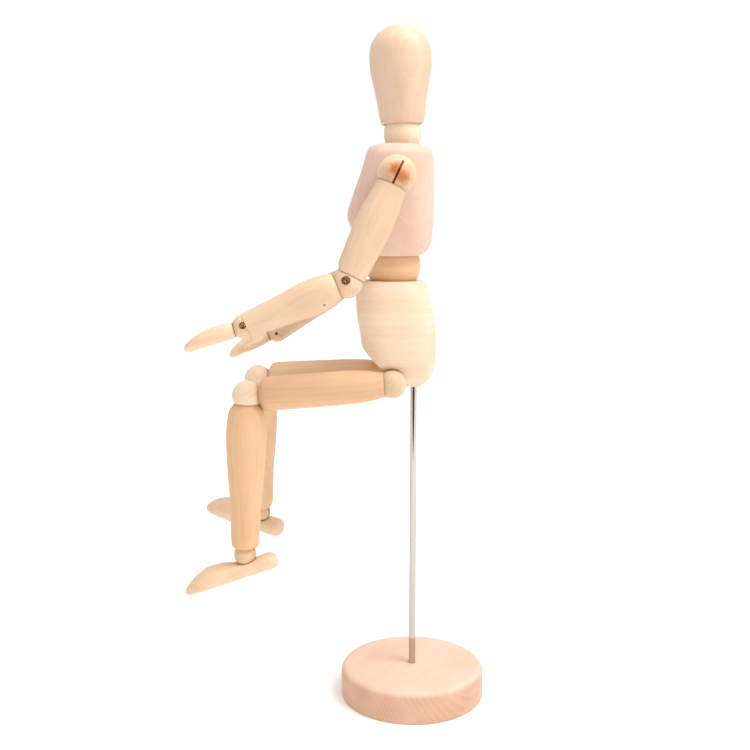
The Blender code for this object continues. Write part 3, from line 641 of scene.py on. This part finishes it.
def build_pin(name, body, start, end, material, head=0.0, radius=0.9):
    """A pin with chamfered ends, or a rivet with a domed head at its start, in the body's frame."""
    start, end = Vector(start), Vector(end)
    length = (end - start).length
    outline = [(0, 0), (radius - 0.15, 0), (radius, 0.2)]
    if head:
        outline += [(radius, length - 0.95), (head, length - 0.95), (head, length - 0.6)]
        for step in range(1, 8):
            angle = math.radians(70 * step / 7)
            outline.append((head * math.cos(angle), length - 0.6 + 0.6 * math.sin(angle)))
        outline += [(head * 0.26, length - 0.12), (head * 0.18, length - 0.3), (0, length - 0.34)]
    else:
        outline += [(radius, length - 0.2), (radius - 0.15, length), (0, length)]
    spin = (start - end).to_track_quat("Z", "Y").to_matrix().to_4x4()
    place = FRAMES[body] @ Matrix.Translation(end) @ spin
    piece = lathe(name, outline, place, 28)
    return finish_piece(piece, material, body, [name])


def build_base():
    low, high = (Vector(corner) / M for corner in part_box("base"))
    radius, height = high.x, high.z
    edge = 4.2
    outline = [(0, height), (radius - edge, height)]
    for step in range(1, 13):
        angle = math.radians(90 * step / 12)
        outline.append((radius - edge * (1 - math.sin(angle)), height - edge * (1 - math.cos(angle))))
    outline += [(radius, height - edge - 2), (radius, 3.0), (radius, 1.4)]
    outline += [(radius - 0.4, 0.4), (radius - 1.4, 0), (0, 0)]
    piece = lathe("base", outline, FRAMES["stand"], 128)
    carve(piece, [bar_cutter(ROD_HOLE, (0, 0, 8), (0, 0, 30), FRAMES["stand"])])
    # edge paints shade on the base's upright side, darker than its lit top
    material = wood("base_wood", BASE_TONE, seed=11, spin=(90, -35, 0), ring_gap=2.6, ring_depth=0.75,
                    rough=0.55, pith=(150, -28), edge=(0.86, 0.77, 0.73))
    finish_piece(piece, material, "base", ["base"])


def build_rod():
    low, high = (Vector(corner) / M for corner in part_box("rod"))
    rows = [(0, high.z), (1.6, high.z), (2.0, high.z - 0.4)]
    rows += [(2.0, height) for height in np.linspace(high.z - 2, low.z + 2, 12)]
    rows += [(2.0, low.z + 0.4), (1.6, low.z), (0, low.z)]
    piece = lathe("rod", rows, FRAMES["stand"], 40)
    finish_piece(piece, ROD_STEEL, "rod", ["rod"])


# height, front, back, half width and squareness, from the bottom up
PELVIS_SECTIONS = [
    (200, -22.5, 4.0, 15.0, 2.6), (203, -26, 8.5, 20.0, 2.8), (208, -28.5, 11.5, 24.0, 3),
    (214, -30.3, 12.9, 26.2, 3), (223, -31.6, 13.3, 27.0, 3), (233.5, -33.0, 12.9, 26.8, 3),
    (242.7, -34.7, 11.6, 25.8, 3), (255.7, -35.2, 8.7, 23.2, 2.8), (261, -33.6, 7.2, 21.6, 2.6),
    (263.0, -32.0, 6.2, 20.4, 2.5), (263.8, -30.4, 4.8, 19.2, 2.5)]
CHEST_SECTIONS = [
    (278.7, -30.4, 2.6, 18.6, 2.6), (279.5, -31.9, 4.6, 20.0, 2.6), (282.0, -33.6, 7.6, 21.2, 2.8),
    (286.7, -35.6, 9.8, 22.6, 3), (293.1, -37.2, 10.6, 24.0, 3), (302, -40.3, 11.1, 26.0, 3),
    (315.3, -36.6, 11.3, 29.2, 3), (329.4, -31.5, 11.3, 31.2, 3), (337.4, -29.2, 10.9, 30.2, 3),
    (341.3, -27.6, 8.6, 27.4, 2.8), (343.0, -25.6, 6.0, 24.6, 2.6), (343.6, -23.2, 3.6, 21.6, 2.6)]


def build_pelvis():
    """The hip block: lofted, sawn at 45 degrees for the hips, sanded, then hollowed for its balls."""
    place = FRAMES["stand"]
    piece = loft("pelvis", section_rings(PELVIS_SECTIONS, 120, 6), place)
    hips = {side: joint_place(word + "_hip_swing") for word, side in SIDE.items()}
    cutters = []
    block = 40
    reach = Vector((block, block, block / 2))
    for side, centre in hips.items():
        normal = Vector((0, side, -1)).normalized()
        middle = centre + normal * (block / 2 - 7.07)
        spin = Matrix.Rotation(math.radians(side * 45), 4, "X")
        cutters.append(block_cutter(middle - reach, middle + reach, place, spin))
    corner = Vector((hips[1].x - 4.0, 0, hips[1].z + 6.4))
    middle = corner + Vector((-1, 0, -1)).normalized() * block / 2
    spin = Matrix.Rotation(math.radians(45), 4, "Y")
    cutters.append(block_cutter(middle - reach, middle + reach, place, spin))
    carve(piece, cutters)
    soften(piece, 0.5, 4)
    waist = joint_place("waist_bend")
    cutters = [ball_cutter(WAIST_CUP, waist, place, 96)]
    for centre in hips.values():
        cutters.append(ball_cutter(BALL["hip"] + BALL_GAP, centre, place, 72))
    cutters.append(bar_cutter(ROD_HOLE, (0, 0, 190), (0, 0, 228), place))
    cutters.append(bar_cutter(TRUNK_BORE, (waist.x, 0, hips[1].z), waist, place))
    cutters.append(bar_cutter(TRUNK_BORE, hips[-1], hips[1], place))
    carve(piece, cutters)
    material = wood("pelvis_wood", PELVIS_TONE, seed=21, spin=(0, 90, 0), ring_gap=5.0, ring_depth=0.22,
                    rough=0.52)
    finish_piece(piece, material, "pelvis", ["pelvis"], 40)


def build_waist():
    place = FRAMES["waist"]
    piece = ball_cutter(WAIST_BALL, (0, 0, 0), place, 96)
    piece.name = "waist"
    flare = [(0, -18), (7.4, -18), (3.4, -4), (3.4, 4), (7.4, 18), (0, 18)]
    carve(piece, [lathe("waist_bore", flare, place, 48)])
    material = wood("waist_wood", WAIST_TONE, seed=31, spin=(0, 90, 20), ring_gap=5.0, rough=0.5)
    finish_piece(piece, material, "waist", ["waist"], 40)


def build_chest():
    """The chest block, lofted with rounded edges, then hollowed for the waist, the neck and the shoulders."""
    place = FRAMES["stand"]
    piece = loft("chest", section_rings(CHEST_SECTIONS, 120, 7), place)
    waist, neck = joint_place("waist_bend"), joint_place("neck_nod")
    shoulders = {side: joint_place(word + "_shoulder_swing") for word, side in SIDE.items()}
    seat = Vector((shoulders[1].x, 0, shoulders[1].z))
    cutters = [ball_cutter(WAIST_CUP, waist, place, 96), ball_cutter(NECK_CUP, neck, place, 72)]
    for centre in shoulders.values():
        cutters.append(ball_cutter(BALL["shoulder"] + BALL_GAP, centre, place, 72))
    cutters += [bar_cutter(TRUNK_BORE, waist, seat, place), bar_cutter(TRUNK_BORE, seat, neck, place)]
    cutters.append(bar_cutter(TRUNK_BORE, shoulders[-1], shoulders[1], place))
    carve(piece, cutters)
    material = wood("chest_wood", CHEST_TONE, seed=41, spin=(4, 2, 0), ring_gap=5.5, ring_depth=0.2,
                    fleck_depth=0.22, rough=0.6, spots=[(0.3, -21.2, 286.2, 0.9, 0.3)])
    finish_piece(piece, material, "chest", ["chest"], 40)


def build_neck():
    """A short barrel with rounded ends, and a bore that widens to its ends so that its spring can bend."""
    outline = []
    for step in range(-14, 15):
        angle = math.radians(3.8 * step)
        height = 11.9 * math.sin(angle)
        outline.append((min(10.95 * math.sqrt(1 - (height / 14.5) ** 2), 11.9 * math.cos(angle)), -height))
    outline += [(6.5, outline[-1][1]), (3.7, -2), (3.7, 2), (6.5, outline[0][1])]
    piece = lathe("neck", soften_corners(outline, 0.3), FRAMES["neck"], FINE, closed=True)
    material = wood("neck_wood", NECK_TONE, seed=51, spin=(0, 90, 0), ring_depth=0.2, rough=0.5)
    finish_piece(piece, material, "neck", ["neck"])


# distance up from the neck's joint, and radius
HEAD_OUTLINE = [(0, 11.95), (1.2, 12.6), (3.4, 13.2), (6.5, 13.75), (13.5, 14.75), (20.0, 15.9), (27.1, 17.3),
                (34.0, 18.2), (40.0, 18.2), (44.8, 17.4), (48.4, 15.85), (51.9, 13.2)]


def build_head():
    """A smooth turned egg, without a face."""
    bottom = 5.3
    curve = [(radius, height + bottom) for height, radius in curve_through(HEAD_OUTLINE, 6)]
    top, crown = 57.2 + bottom, curve[-1]
    for step in range(1, 15):
        angle = math.radians(47.5 + 42.5 * step / 14)
        rise = (math.sin(angle) - math.sin(math.radians(47.5))) / (1 - math.sin(math.radians(47.5)))
        radius = crown[0] * math.cos(angle) / math.cos(math.radians(47.5))
        curve.append((radius, crown[1] + (top - crown[1]) * rise))
    curve = list(reversed(curve))
    start = math.asin(bottom / NECK_CUP)
    for step in range(14):
        angle = start + (math.acos(3.8 / NECK_CUP) - start) * step / 13
        curve.append((NECK_CUP * math.cos(angle), NECK_CUP * math.sin(angle)))
    curve += [(3.8, 20.4), (0, 20.4)]
    piece = lathe("head", soften_corners(curve, 0.5, closed=False), FRAMES["head"], 96)
    carve(piece, [bar_cutter(1.1, (0, -9, HEAD_PIN), (0, 20, HEAD_PIN), FRAMES["head"])])
    material = wood("head_wood", HEAD_TONE, seed=67, spin=(1, -1, 0), ring_gap=4.2, ring_depth=0.18,
                    fleck_depth=0.1, rough=0.45)
    finish_piece(piece, material, "head", ["head"], 40)
    build_pin("head_pin", "head", (0, 11.5, HEAD_PIN), (0, -8.7, HEAD_PIN), PIN_STEEL)


# distance down from the wrist, shift towards the palm, half thickness and half width
HAND_SECTIONS = [(6.1, 0.0, 4.3, 4.7), (8.5, 0.0, 4.5, 6.0), (12.5, 0.0, 4.7, 7.3), (18, 0.1, 4.6, 8.0),
                 (24, 0.6, 4.2, 8.0), (29, 1.4, 3.6, 7.2), (33, 2.3, 2.8, 5.4), (35.3, 2.9, 1.8, 3.2),
                 (36.2, 3.2, 0.8, 1.6)]
THUMB_SECTIONS = [(9.0, 5.0, 2.4), (13.0, 7.4, 2.9), (17.5, 9.4, 2.7), (21.5, 10.6, 2.2), (23.3, 11.0, 1.3)]


def build_hand(name, side, material):
    """A mitten hand with a thumb on its inner side, carved and sanded."""
    place = FRAMES[name]
    rings = []
    for distance, palmward, half_thick, half_wide in curve_through(HAND_SECTIONS, 6):
        a, b = superellipse(half_thick, half_wide, 2.4, 72)
        rings.append([(x + palmward, y, -distance) for x, y in zip(a, b)])
    piece = loft(name, rings, place)
    rings = []
    for distance, sideways, half in curve_through(THUMB_SECTIONS, 6):
        a, b = superellipse(half, half * 0.95, 2.1, 48)
        rings.append([(x + 0.8, y - side * sideways, -distance) for x, y in zip(a, b)])
    carve(piece, [loft("thumb", rings, place)], "UNION")
    soften(piece, 0.34, 6)
    carve(piece, [ball_cutter(BALL["wrist"] + BALL_GAP, (0, 0, 0), place)])
    return finish_piece(piece, material, name, [name], 40)


# distance behind the ankle, bottom, top and half width
FOOT_SECTIONS = [(-42.0, 0.9, 2.4, 1.4), (-40.6, 0.3, 4.6, 4.2), (-37.0, 0, 7.4, 6.8), (-31, 0, 10.3, 8.8),
                 (-24.5, 0, 12.0, 9.6), (-17, 0, 11.7, 9.3), (-10, 0, 10.2, 8.3), (-4, 0, 9.3, 7.3),
                 (3, 0, 8.7, 6.8), (9, 0, 9.2, 7.1), (13, 0, 9.2, 7.0), (16, 0.3, 8.2, 5.4),
                 (17.4, 1.6, 6.4, 3.0)]


def build_foot(name, material):
    """A shoe-shaped foot with a domed instep and a flat sole."""
    place = FRAMES[name]
    rings = []
    for x, low, high, half_wide in curve_through(FOOT_SECTIONS, 6):
        a, b = superellipse(max(half_wide, 0.3), max((high - low) / 2, 0.3), 3.0, 72)
        rings.append([(x, y, z - 13.2 + (low + high) / 2) for y, z in zip(a, b)])
    piece = loft(name, rings, place)
    soften(piece, 0.4, 3)
    carve(piece, [ball_cutter(BALL["ankle"] + BALL_GAP, (0, 0, 0), place)])
    return finish_piece(piece, material, name, [name], 40)


# distance down the limb from its upper joint, and radius
UPPER_ARM_OUTLINE = [(7.3, 8.85), (12, 9.2), (19, 9.9), (31, 10.6), (43.5, 10.1), (58, 9.1), (62.5, 8.7)]
FOREARM_OUTLINE = [(5.9, 7.5), (9, 8.9), (14, 9.8), (21, 10.2), (27, 9.9), (36, 9.0), (51, 7.9), (60.7, 7.35)]
THIGH_OUTLINE = [(5.0, 7.6), (8, 8.0), (12, 8.8), (20, 9.7), (31, 10.1), (55, 10.2), (73, 10.2), (75.8, 9.7),
                 (78.9, 5.8)]
SHIN_OUTLINE = [(5.3, 7.7), (9.2, 10.3), (16, 11.6), (24, 12.1), (31, 11.9), (47.5, 10.9), (66, 9.3),
                (88, 8.45), (91.4, 8.1), (92.8, 7.2)]
ACROSS_HOLE = (PIN_HOLE, (-20, 0, 0), (20, 0, 0))


def build_arm(word, side):
    name = word + "_"
    seed = 100 if side < 0 else 200
    reach = BALL["shoulder"] * 0.86
    material = wood(name + "shoulder_wood", BALL_TONE["shoulder"], seed=seed + 1, spin=(0, 70, 0),
                    scorch=(1.0, BALL["shoulder"]))
    build_ball(name + "shoulder_ball", name + "shoulder", BALL["shoulder"], (0, 0, -1), (1, 0, 0), material,
               [ACROSS_HOLE], 1.25, side, True)
    build_pin(name + "shoulder_pin", name + "shoulder", (-reach, 0, 0), (reach, 0, 0), PIN_STEEL)
    material = wood(name + "upper_arm_wood", ARM_TONE, seed=seed + 2, spin=(1, 1, 0), ring_gap=3.4)
    build_limb(name + "upper_arm", "upper_arm", UPPER_ARM_OUTLINE, "shoulder", "elbow", material, notch=True)
    knots = [(7.6, -6.5, -16.3, 1.1, 0.85)] if side < 0 else []
    material = wood(name + "forearm_wood", ARM_TONE, seed=seed + 3, spin=(-1, 1, 0), spots=knots)
    build_limb(name + "forearm", "forearm", FOREARM_OUTLINE, "elbow", "wrist", material)
    for part, open_side, head in (("elbow", (-1, 0, 0), 2.3), ("wrist", (1, 0, 0), 1.8)):
        radius = BALL[part]
        material = wood(f"{name}{part}_wood", ARM_TONE, seed=seed + 4 + int(head), spin=(60, 20, 0),
                        ring_gap=2.5)
        holes = [(PIN_HOLE, (0, -20, 0), (0, 20, 0)),
                 (head + 0.3, (0, side * (radius - 1.5), 0), (0, side * 20, 0))]
        build_ball(f"{name}{part}_ball", name + part, radius, open_side, (0, 1, 0), material, holes)
        build_pin(f"{name}{part}_rivet", name + part, (0, side * (radius - 0.25), 0),
                  (0, -side * (radius - 1.0), 0), BRONZE, head)
    material = wood(name + "hand_wood", HAND_TONE, seed=seed + 8, spin=(2, -3, 0))
    build_hand(name + "hand", side, material)


def build_leg(word, side):
    name = word + "_"
    seed = 300 if side < 0 else 400
    reach = BALL["hip"] * 0.84
    material = wood(name + "hip_wood", BALL_TONE["hip"], seed=seed + 1, spin=(0, 60, 0),
                    scorch=(0.15, BALL["hip"]))
    build_ball(name + "hip_ball", name + "hip", BALL["hip"], (0, 0, -1), (1, 0, 0), material,
               [ACROSS_HOLE], 1.25, side)
    build_pin(name + "hip_pin", name + "hip", (-reach, 0, 0), (reach, 0, 0), PIN_STEEL)
    material = wood(name + "thigh_wood", THIGH_TONE[word], seed=seed + 2, spin=(1, -1, 0), ring_gap=3.4)
    build_limb(name + "thigh", "thigh", THIGH_OUTLINE, "hip", "knee", material)
    material = wood(name + "shin_wood", SHIN_TONE[word], seed=seed + 3, spin=(-1, 1, 0), ring_gap=3.8)
    build_limb(name + "shin", "shin", SHIN_OUTLINE, "knee", "ankle", material)
    for part in ("knee", "ankle"):
        radius = BALL[part]
        depth = radius - 2.2
        material = wood(f"{name}{part}_wood", BALL_TONE[part], seed=seed + 4 + int(radius), spin=(50, 20, 0))
        build_ball(f"{name}{part}_ball", name + part, radius, (1, 0, 0), (0, 1, 0), material,
                   [(PIN_HOLE, (0, -side * 20, 0), (0, side * depth, 0))])
        build_pin(f"{name}{part}_pin", name + part, (0, -side * (radius - 0.5), 0),
                  (0, side * (depth - 0.3), 0), PIN_STEEL)
    material = wood(name + "foot_wood", FOOT_TONE[word], seed=seed + 17, spin=(0, 90, 0), ring_gap=3.4)
    build_foot(name + "foot", material)


# ---------------------------------------------------------------- springs

def sweep(name, path, radius, material, body=None, nodes=(), sides=6):
    """A round wire along a path of points in the figure's frame."""
    path = [Vector(point) for point in path]
    vertices, faces = [], []
    tangent = (path[1] - path[0]).normalized()
    normal = tangent.orthogonal().normalized()
    for i, point in enumerate(path):
        ahead = path[min(i + 1, len(path) - 1)] - path[max(i - 1, 0)]
        tangent = ahead.normalized() if ahead.length > 1e-9 else tangent
        normal = (normal - tangent * normal.dot(tangent)).normalized()
        binormal = tangent.cross(normal)
        for side in range(sides):
            angle = 2 * math.pi * side / sides
            vertices.append(point + radius * (math.cos(angle) * normal + math.sin(angle) * binormal))
    for i in range(len(path) - 1):
        for side in range(sides):
            a, b = i * sides + side, i * sides + (side + 1) % sides
            faces.append((a, b, b + sides, a + sides))
    faces.append(tuple(range(sides)))
    faces.append(tuple(range((len(path) - 1) * sides, len(path) * sides)))
    piece = make_object(name, vertices, faces, Matrix.Identity(4))
    return finish_piece(piece, material, body, nodes, 60)


def eye(centre, outward, pin_axis, ring):
    """A hook's eye round a pin, from its open end to where it meets the shank."""
    outward = Vector(outward).normalized()
    side = Vector(pin_axis).cross(outward).normalized()
    points = []
    for step in range(22):
        angle = math.radians(55 + 300 * step / 21)
        points.append(Vector(centre) + ring * (math.cos(angle) * outward + math.sin(angle) * side))
    return points


def coil(start, end, radius, pitch=0.62, per_turn=10):
    """A helix from start to end: close-wound, as a relaxed tension spring is."""
    start, end = Vector(start), Vector(end)
    along = (end - start).normalized()
    across = along.orthogonal().normalized()
    other = along.cross(across)
    turns = max(2, round((end - start).length / pitch))
    points = []
    for i in range(turns * per_turn + 1):
        angle = 2 * math.pi * i / per_turn
        around = radius * (math.cos(angle) * across + math.sin(angle) * other)
        points.append(start + (end - start) * i / (turns * per_turn) + around)
    return points


def spring_path(start, end, start_pin, end_pin, necks, shifts, rings, radius):
    """A hook, a coil and a hook. A pin of None leaves that end as a plain cut coil."""
    start, end = Vector(start), Vector(end)
    along = (end - start).normalized()
    path = []
    if start_pin is not None:
        centre = start + Vector(start_pin) * shifts[0]
        path += eye(centre, along, start_pin, rings[0])
        path.append(centre + along * (necks[0] - 1.0))
    path += coil(start + along * necks[0], end - along * necks[1], radius - WIRE)
    if end_pin is not None:
        centre = end + Vector(end_pin) * shifts[1]
        path.append(centre - along * (necks[1] - 1.0))
        path += reversed(eye(centre, -along, end_pin, rings[1]))
    return path


def limb_spring(name, upper_ball, lower_ball, upper_pin, sizes):
    """The spring in a limb, from the pin of the ball above to the pin of the ball below."""
    start = FRAMES[upper_ball].translation
    end = FRAMES[lower_ball].translation
    first = FRAMES[upper_ball].to_3x3() @ Vector(upper_pin)
    last = FRAMES[lower_ball].to_3x3() @ Vector((0, 1, 0))
    necks = (sizes[0] + HOOK_GAP, sizes[1] + HOOK_GAP)
    path = spring_path(start, end, first, last, necks, (-HOOK_SHIFT, HOOK_SHIFT), (HOOK_RING, HOOK_RING),
                       COIL_RADIUS)
    piece = sweep(name, path, WIRE, WIRE_STEEL, None, [name])
    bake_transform(piece)


def split_spring(name, start, middle, end, pins, necks, shifts, rings, radius):
    """A spring that crosses two joints, as two halves that meet where the joints do."""
    start, middle, end = Vector(start), Vector(middle), Vector(end)
    ends = ((start, middle, pins[0], None, (necks[0], 0)), (middle, end, None, pins[1], (0, necks[1])))
    for i, (first, last, first_pin, last_pin, neck) in enumerate(ends):
        path = spring_path(first, last, first_pin, last_pin, neck, shifts, rings, radius)
        label = name if i == 0 else name + "_upper"
        piece = sweep(label, path, WIRE, WIRE_STEEL, None, [name])
        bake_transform(piece)


def build_springs():
    waist, neck = joint_place("waist_bend"), joint_place("neck_nod")
    across = Vector((0, 1, 0))
    for joint, body in (("shoulder", "chest"), ("hip", "pelvis")):
        left, right = FRAMES["left_" + joint], FRAMES["right_" + joint]
        middle = (left.translation + right.translation) / 2
        left_pin, right_pin = left.to_3x3() @ Vector((1, 0, 0)), right.to_3x3() @ Vector((1, 0, 0))
        size = BALL[joint] + HOOK_GAP
        split_spring(joint + "_spring", left.translation, middle, right.translation, (left_pin, right_pin),
                     (size, size), (HOOK_SHIFT, HOOK_SHIFT), (HOOK_RING, HOOK_RING), COIL_RADIUS)
    hip_middle = (FRAMES["left_hip"].translation + FRAMES["right_hip"].translation) / 2
    shoulder_middle = (FRAMES["left_shoulder"].translation + FRAMES["right_shoulder"].translation) / 2
    split_spring("waist_spring", hip_middle, waist, shoulder_middle, (across, across), (6.5, 6.5),
                 (-0.9, -0.9), (2.6, 2.6), COIL_RADIUS)
    head_pin = FRAMES["head"] @ Vector((0, 0, HEAD_PIN))
    middle = shoulder_middle.lerp(head_pin, (neck.z - shoulder_middle.z) / (head_pin.z - shoulder_middle.z))
    split_spring("neck_spring", shoulder_middle, middle, head_pin, (across, across), (6.0, 4.5), (0.9, 0),
                 (2.6, HOOK_RING), 1.6)
    for word in SIDE:
        name = word + "_"
        for upper, limb, lower, pin in (("shoulder", "upper_arm", "elbow", (1, 0, 0)),
                                        ("elbow", "forearm", "wrist", (0, 1, 0)),
                                        ("hip", "thigh", "knee", (1, 0, 0)),
                                        ("knee", "shin", "ankle", (0, 1, 0))):
            limb_spring(f"{name}{limb}_spring", name + upper, name + lower, pin,
                        (BALL[upper], BALL[lower]))
        for part, stem in (("hand", 13.0), ("foot", 10.5)):
            place = FRAMES[name + part]
            points = eye((0, -HOOK_SHIFT, 0), (0, 0, -1), (0, 1, 0), HOOK_RING)
            points += [Vector((0, -HOOK_SHIFT, -3.2)), Vector((0, 0, -5.2)), Vector((0, 0, -stem))]
            sweep(f"{name}{part}_hook", [place @ point for point in points], WIRE, WIRE_STEEL, name + part,
                  [f"{name}{part}_hook"])


# ---------------------------------------------------------------- studio

def build_studio():
    world = bpy.data.worlds.new("studio")
    bpy.context.scene.world = world
    world.use_nodes = True
    world.cycles.sampling_method = "NONE"
    tree = world.node_tree
    path = tree.nodes.new("ShaderNodeLightPath")
    fill = math_node(tree, "MULTIPLY_ADD", path.outputs["Is Diffuse Ray"], -0.47, 1.03)
    tree.links.new(fill, tree.nodes["Background"].inputs["Strength"])
    tree.nodes["Background"].inputs["Color"].default_value = (1.0, 1.0, 1.0, 1.0)

    far = 4000
    corners = [(-far, -far, 0), (far, -far, 0), (far, far, 0), (-far, far, 0)]
    floor = make_object("floor", corners, [(0, 1, 2, 3)], Matrix.Identity(4))
    material, tree, shader = new_material("floor")
    set_inputs(shader, Base_Color=(0.93, 0.925, 0.915, 1), Roughness=0.9, Specular_IOR_Level=0.1,
               Emission_Color=(1, 1, 1, 1))
    length = vector_node(tree, "LENGTH", coordinates(tree, (1, 1, 1)), result="Value")
    glow = math_node(tree, "MULTIPLY_ADD", ramp(tree, length, 60, 900), 0.38, 0.14)
    tree.links.new(glow, shader.inputs["Emission Strength"])
    floor.data.materials.append(material)

    lamps = (("key", (0.60, -0.35, 1.25), 0.6, 11.0), ("top", (0.0, -0.05, 1.5), 0.9, 8.5),
             ("front", (0.35, -1.3, 0.5), 0.8, 1.8))
    for name, place, size, power in lamps:
        light = bpy.data.lights.new(name, "AREA")
        light.shape = "SQUARE"
        light.size = size
        light.energy = power
        lamp = bpy.data.objects.new(name, light)
        bpy.context.scene.collection.objects.link(lamp)
        lamp.location = place
        lamp.rotation_euler = (Vector(place) - Vector((-0.02, 0, 0.22))).to_track_quat("Z", "Y").to_euler()

    # painted dark reflection: a dark sheet on the floor in front of the figure, unseen by the camera, diffuse
    # light and shadows, gives the rod its dark core
    reach = [(670, 2), (730, 16), (850, 28), (1000, 36), (1300, 42), (2400, 44)]
    spots = [(distance, -angle) for distance, angle in reach] + [(2400, -20), (2400, 20)]
    spots += [(distance, angle) for distance, angle in reversed(reach)]
    spots = [(distance, math.radians(angle)) for distance, angle in spots]
    spots = [(distance * math.sin(angle), -distance * math.cos(angle), 2) for distance, angle in spots]
    card = make_object("dark_card", spots, [tuple(range(len(spots)))], Matrix.Identity(4))
    material, tree, shader = new_material("dark_card")
    set_inputs(shader, Base_Color=(0.05, 0.032, 0.028, 1), Roughness=1.0)
    card.data.materials.append(material)
    card.visible_camera = False
    card.visible_diffuse = False
    card.visible_shadow = False

    camera = bpy.data.objects.new("camera", bpy.data.cameras.new("camera"))
    bpy.context.scene.collection.objects.link(camera)
    camera.data.lens = 48.8
    camera.data.sensor_width = 36
    camera.data.clip_start = 0.01
    camera.location = (-0.0237, -0.6179, 0.2956)
    camera.rotation_euler = (math.radians(90 - 8.27), 0, 0)
    bpy.context.scene.camera = camera
    bpy.context.scene.view_settings.view_transform = "Standard"


build_studio()
build_base()
build_rod()
build_pelvis()
build_waist()
build_chest()
build_neck()
build_head()
for word, side in SIDE.items():
    build_arm(word, side)
    build_leg(word, side)
build_springs()
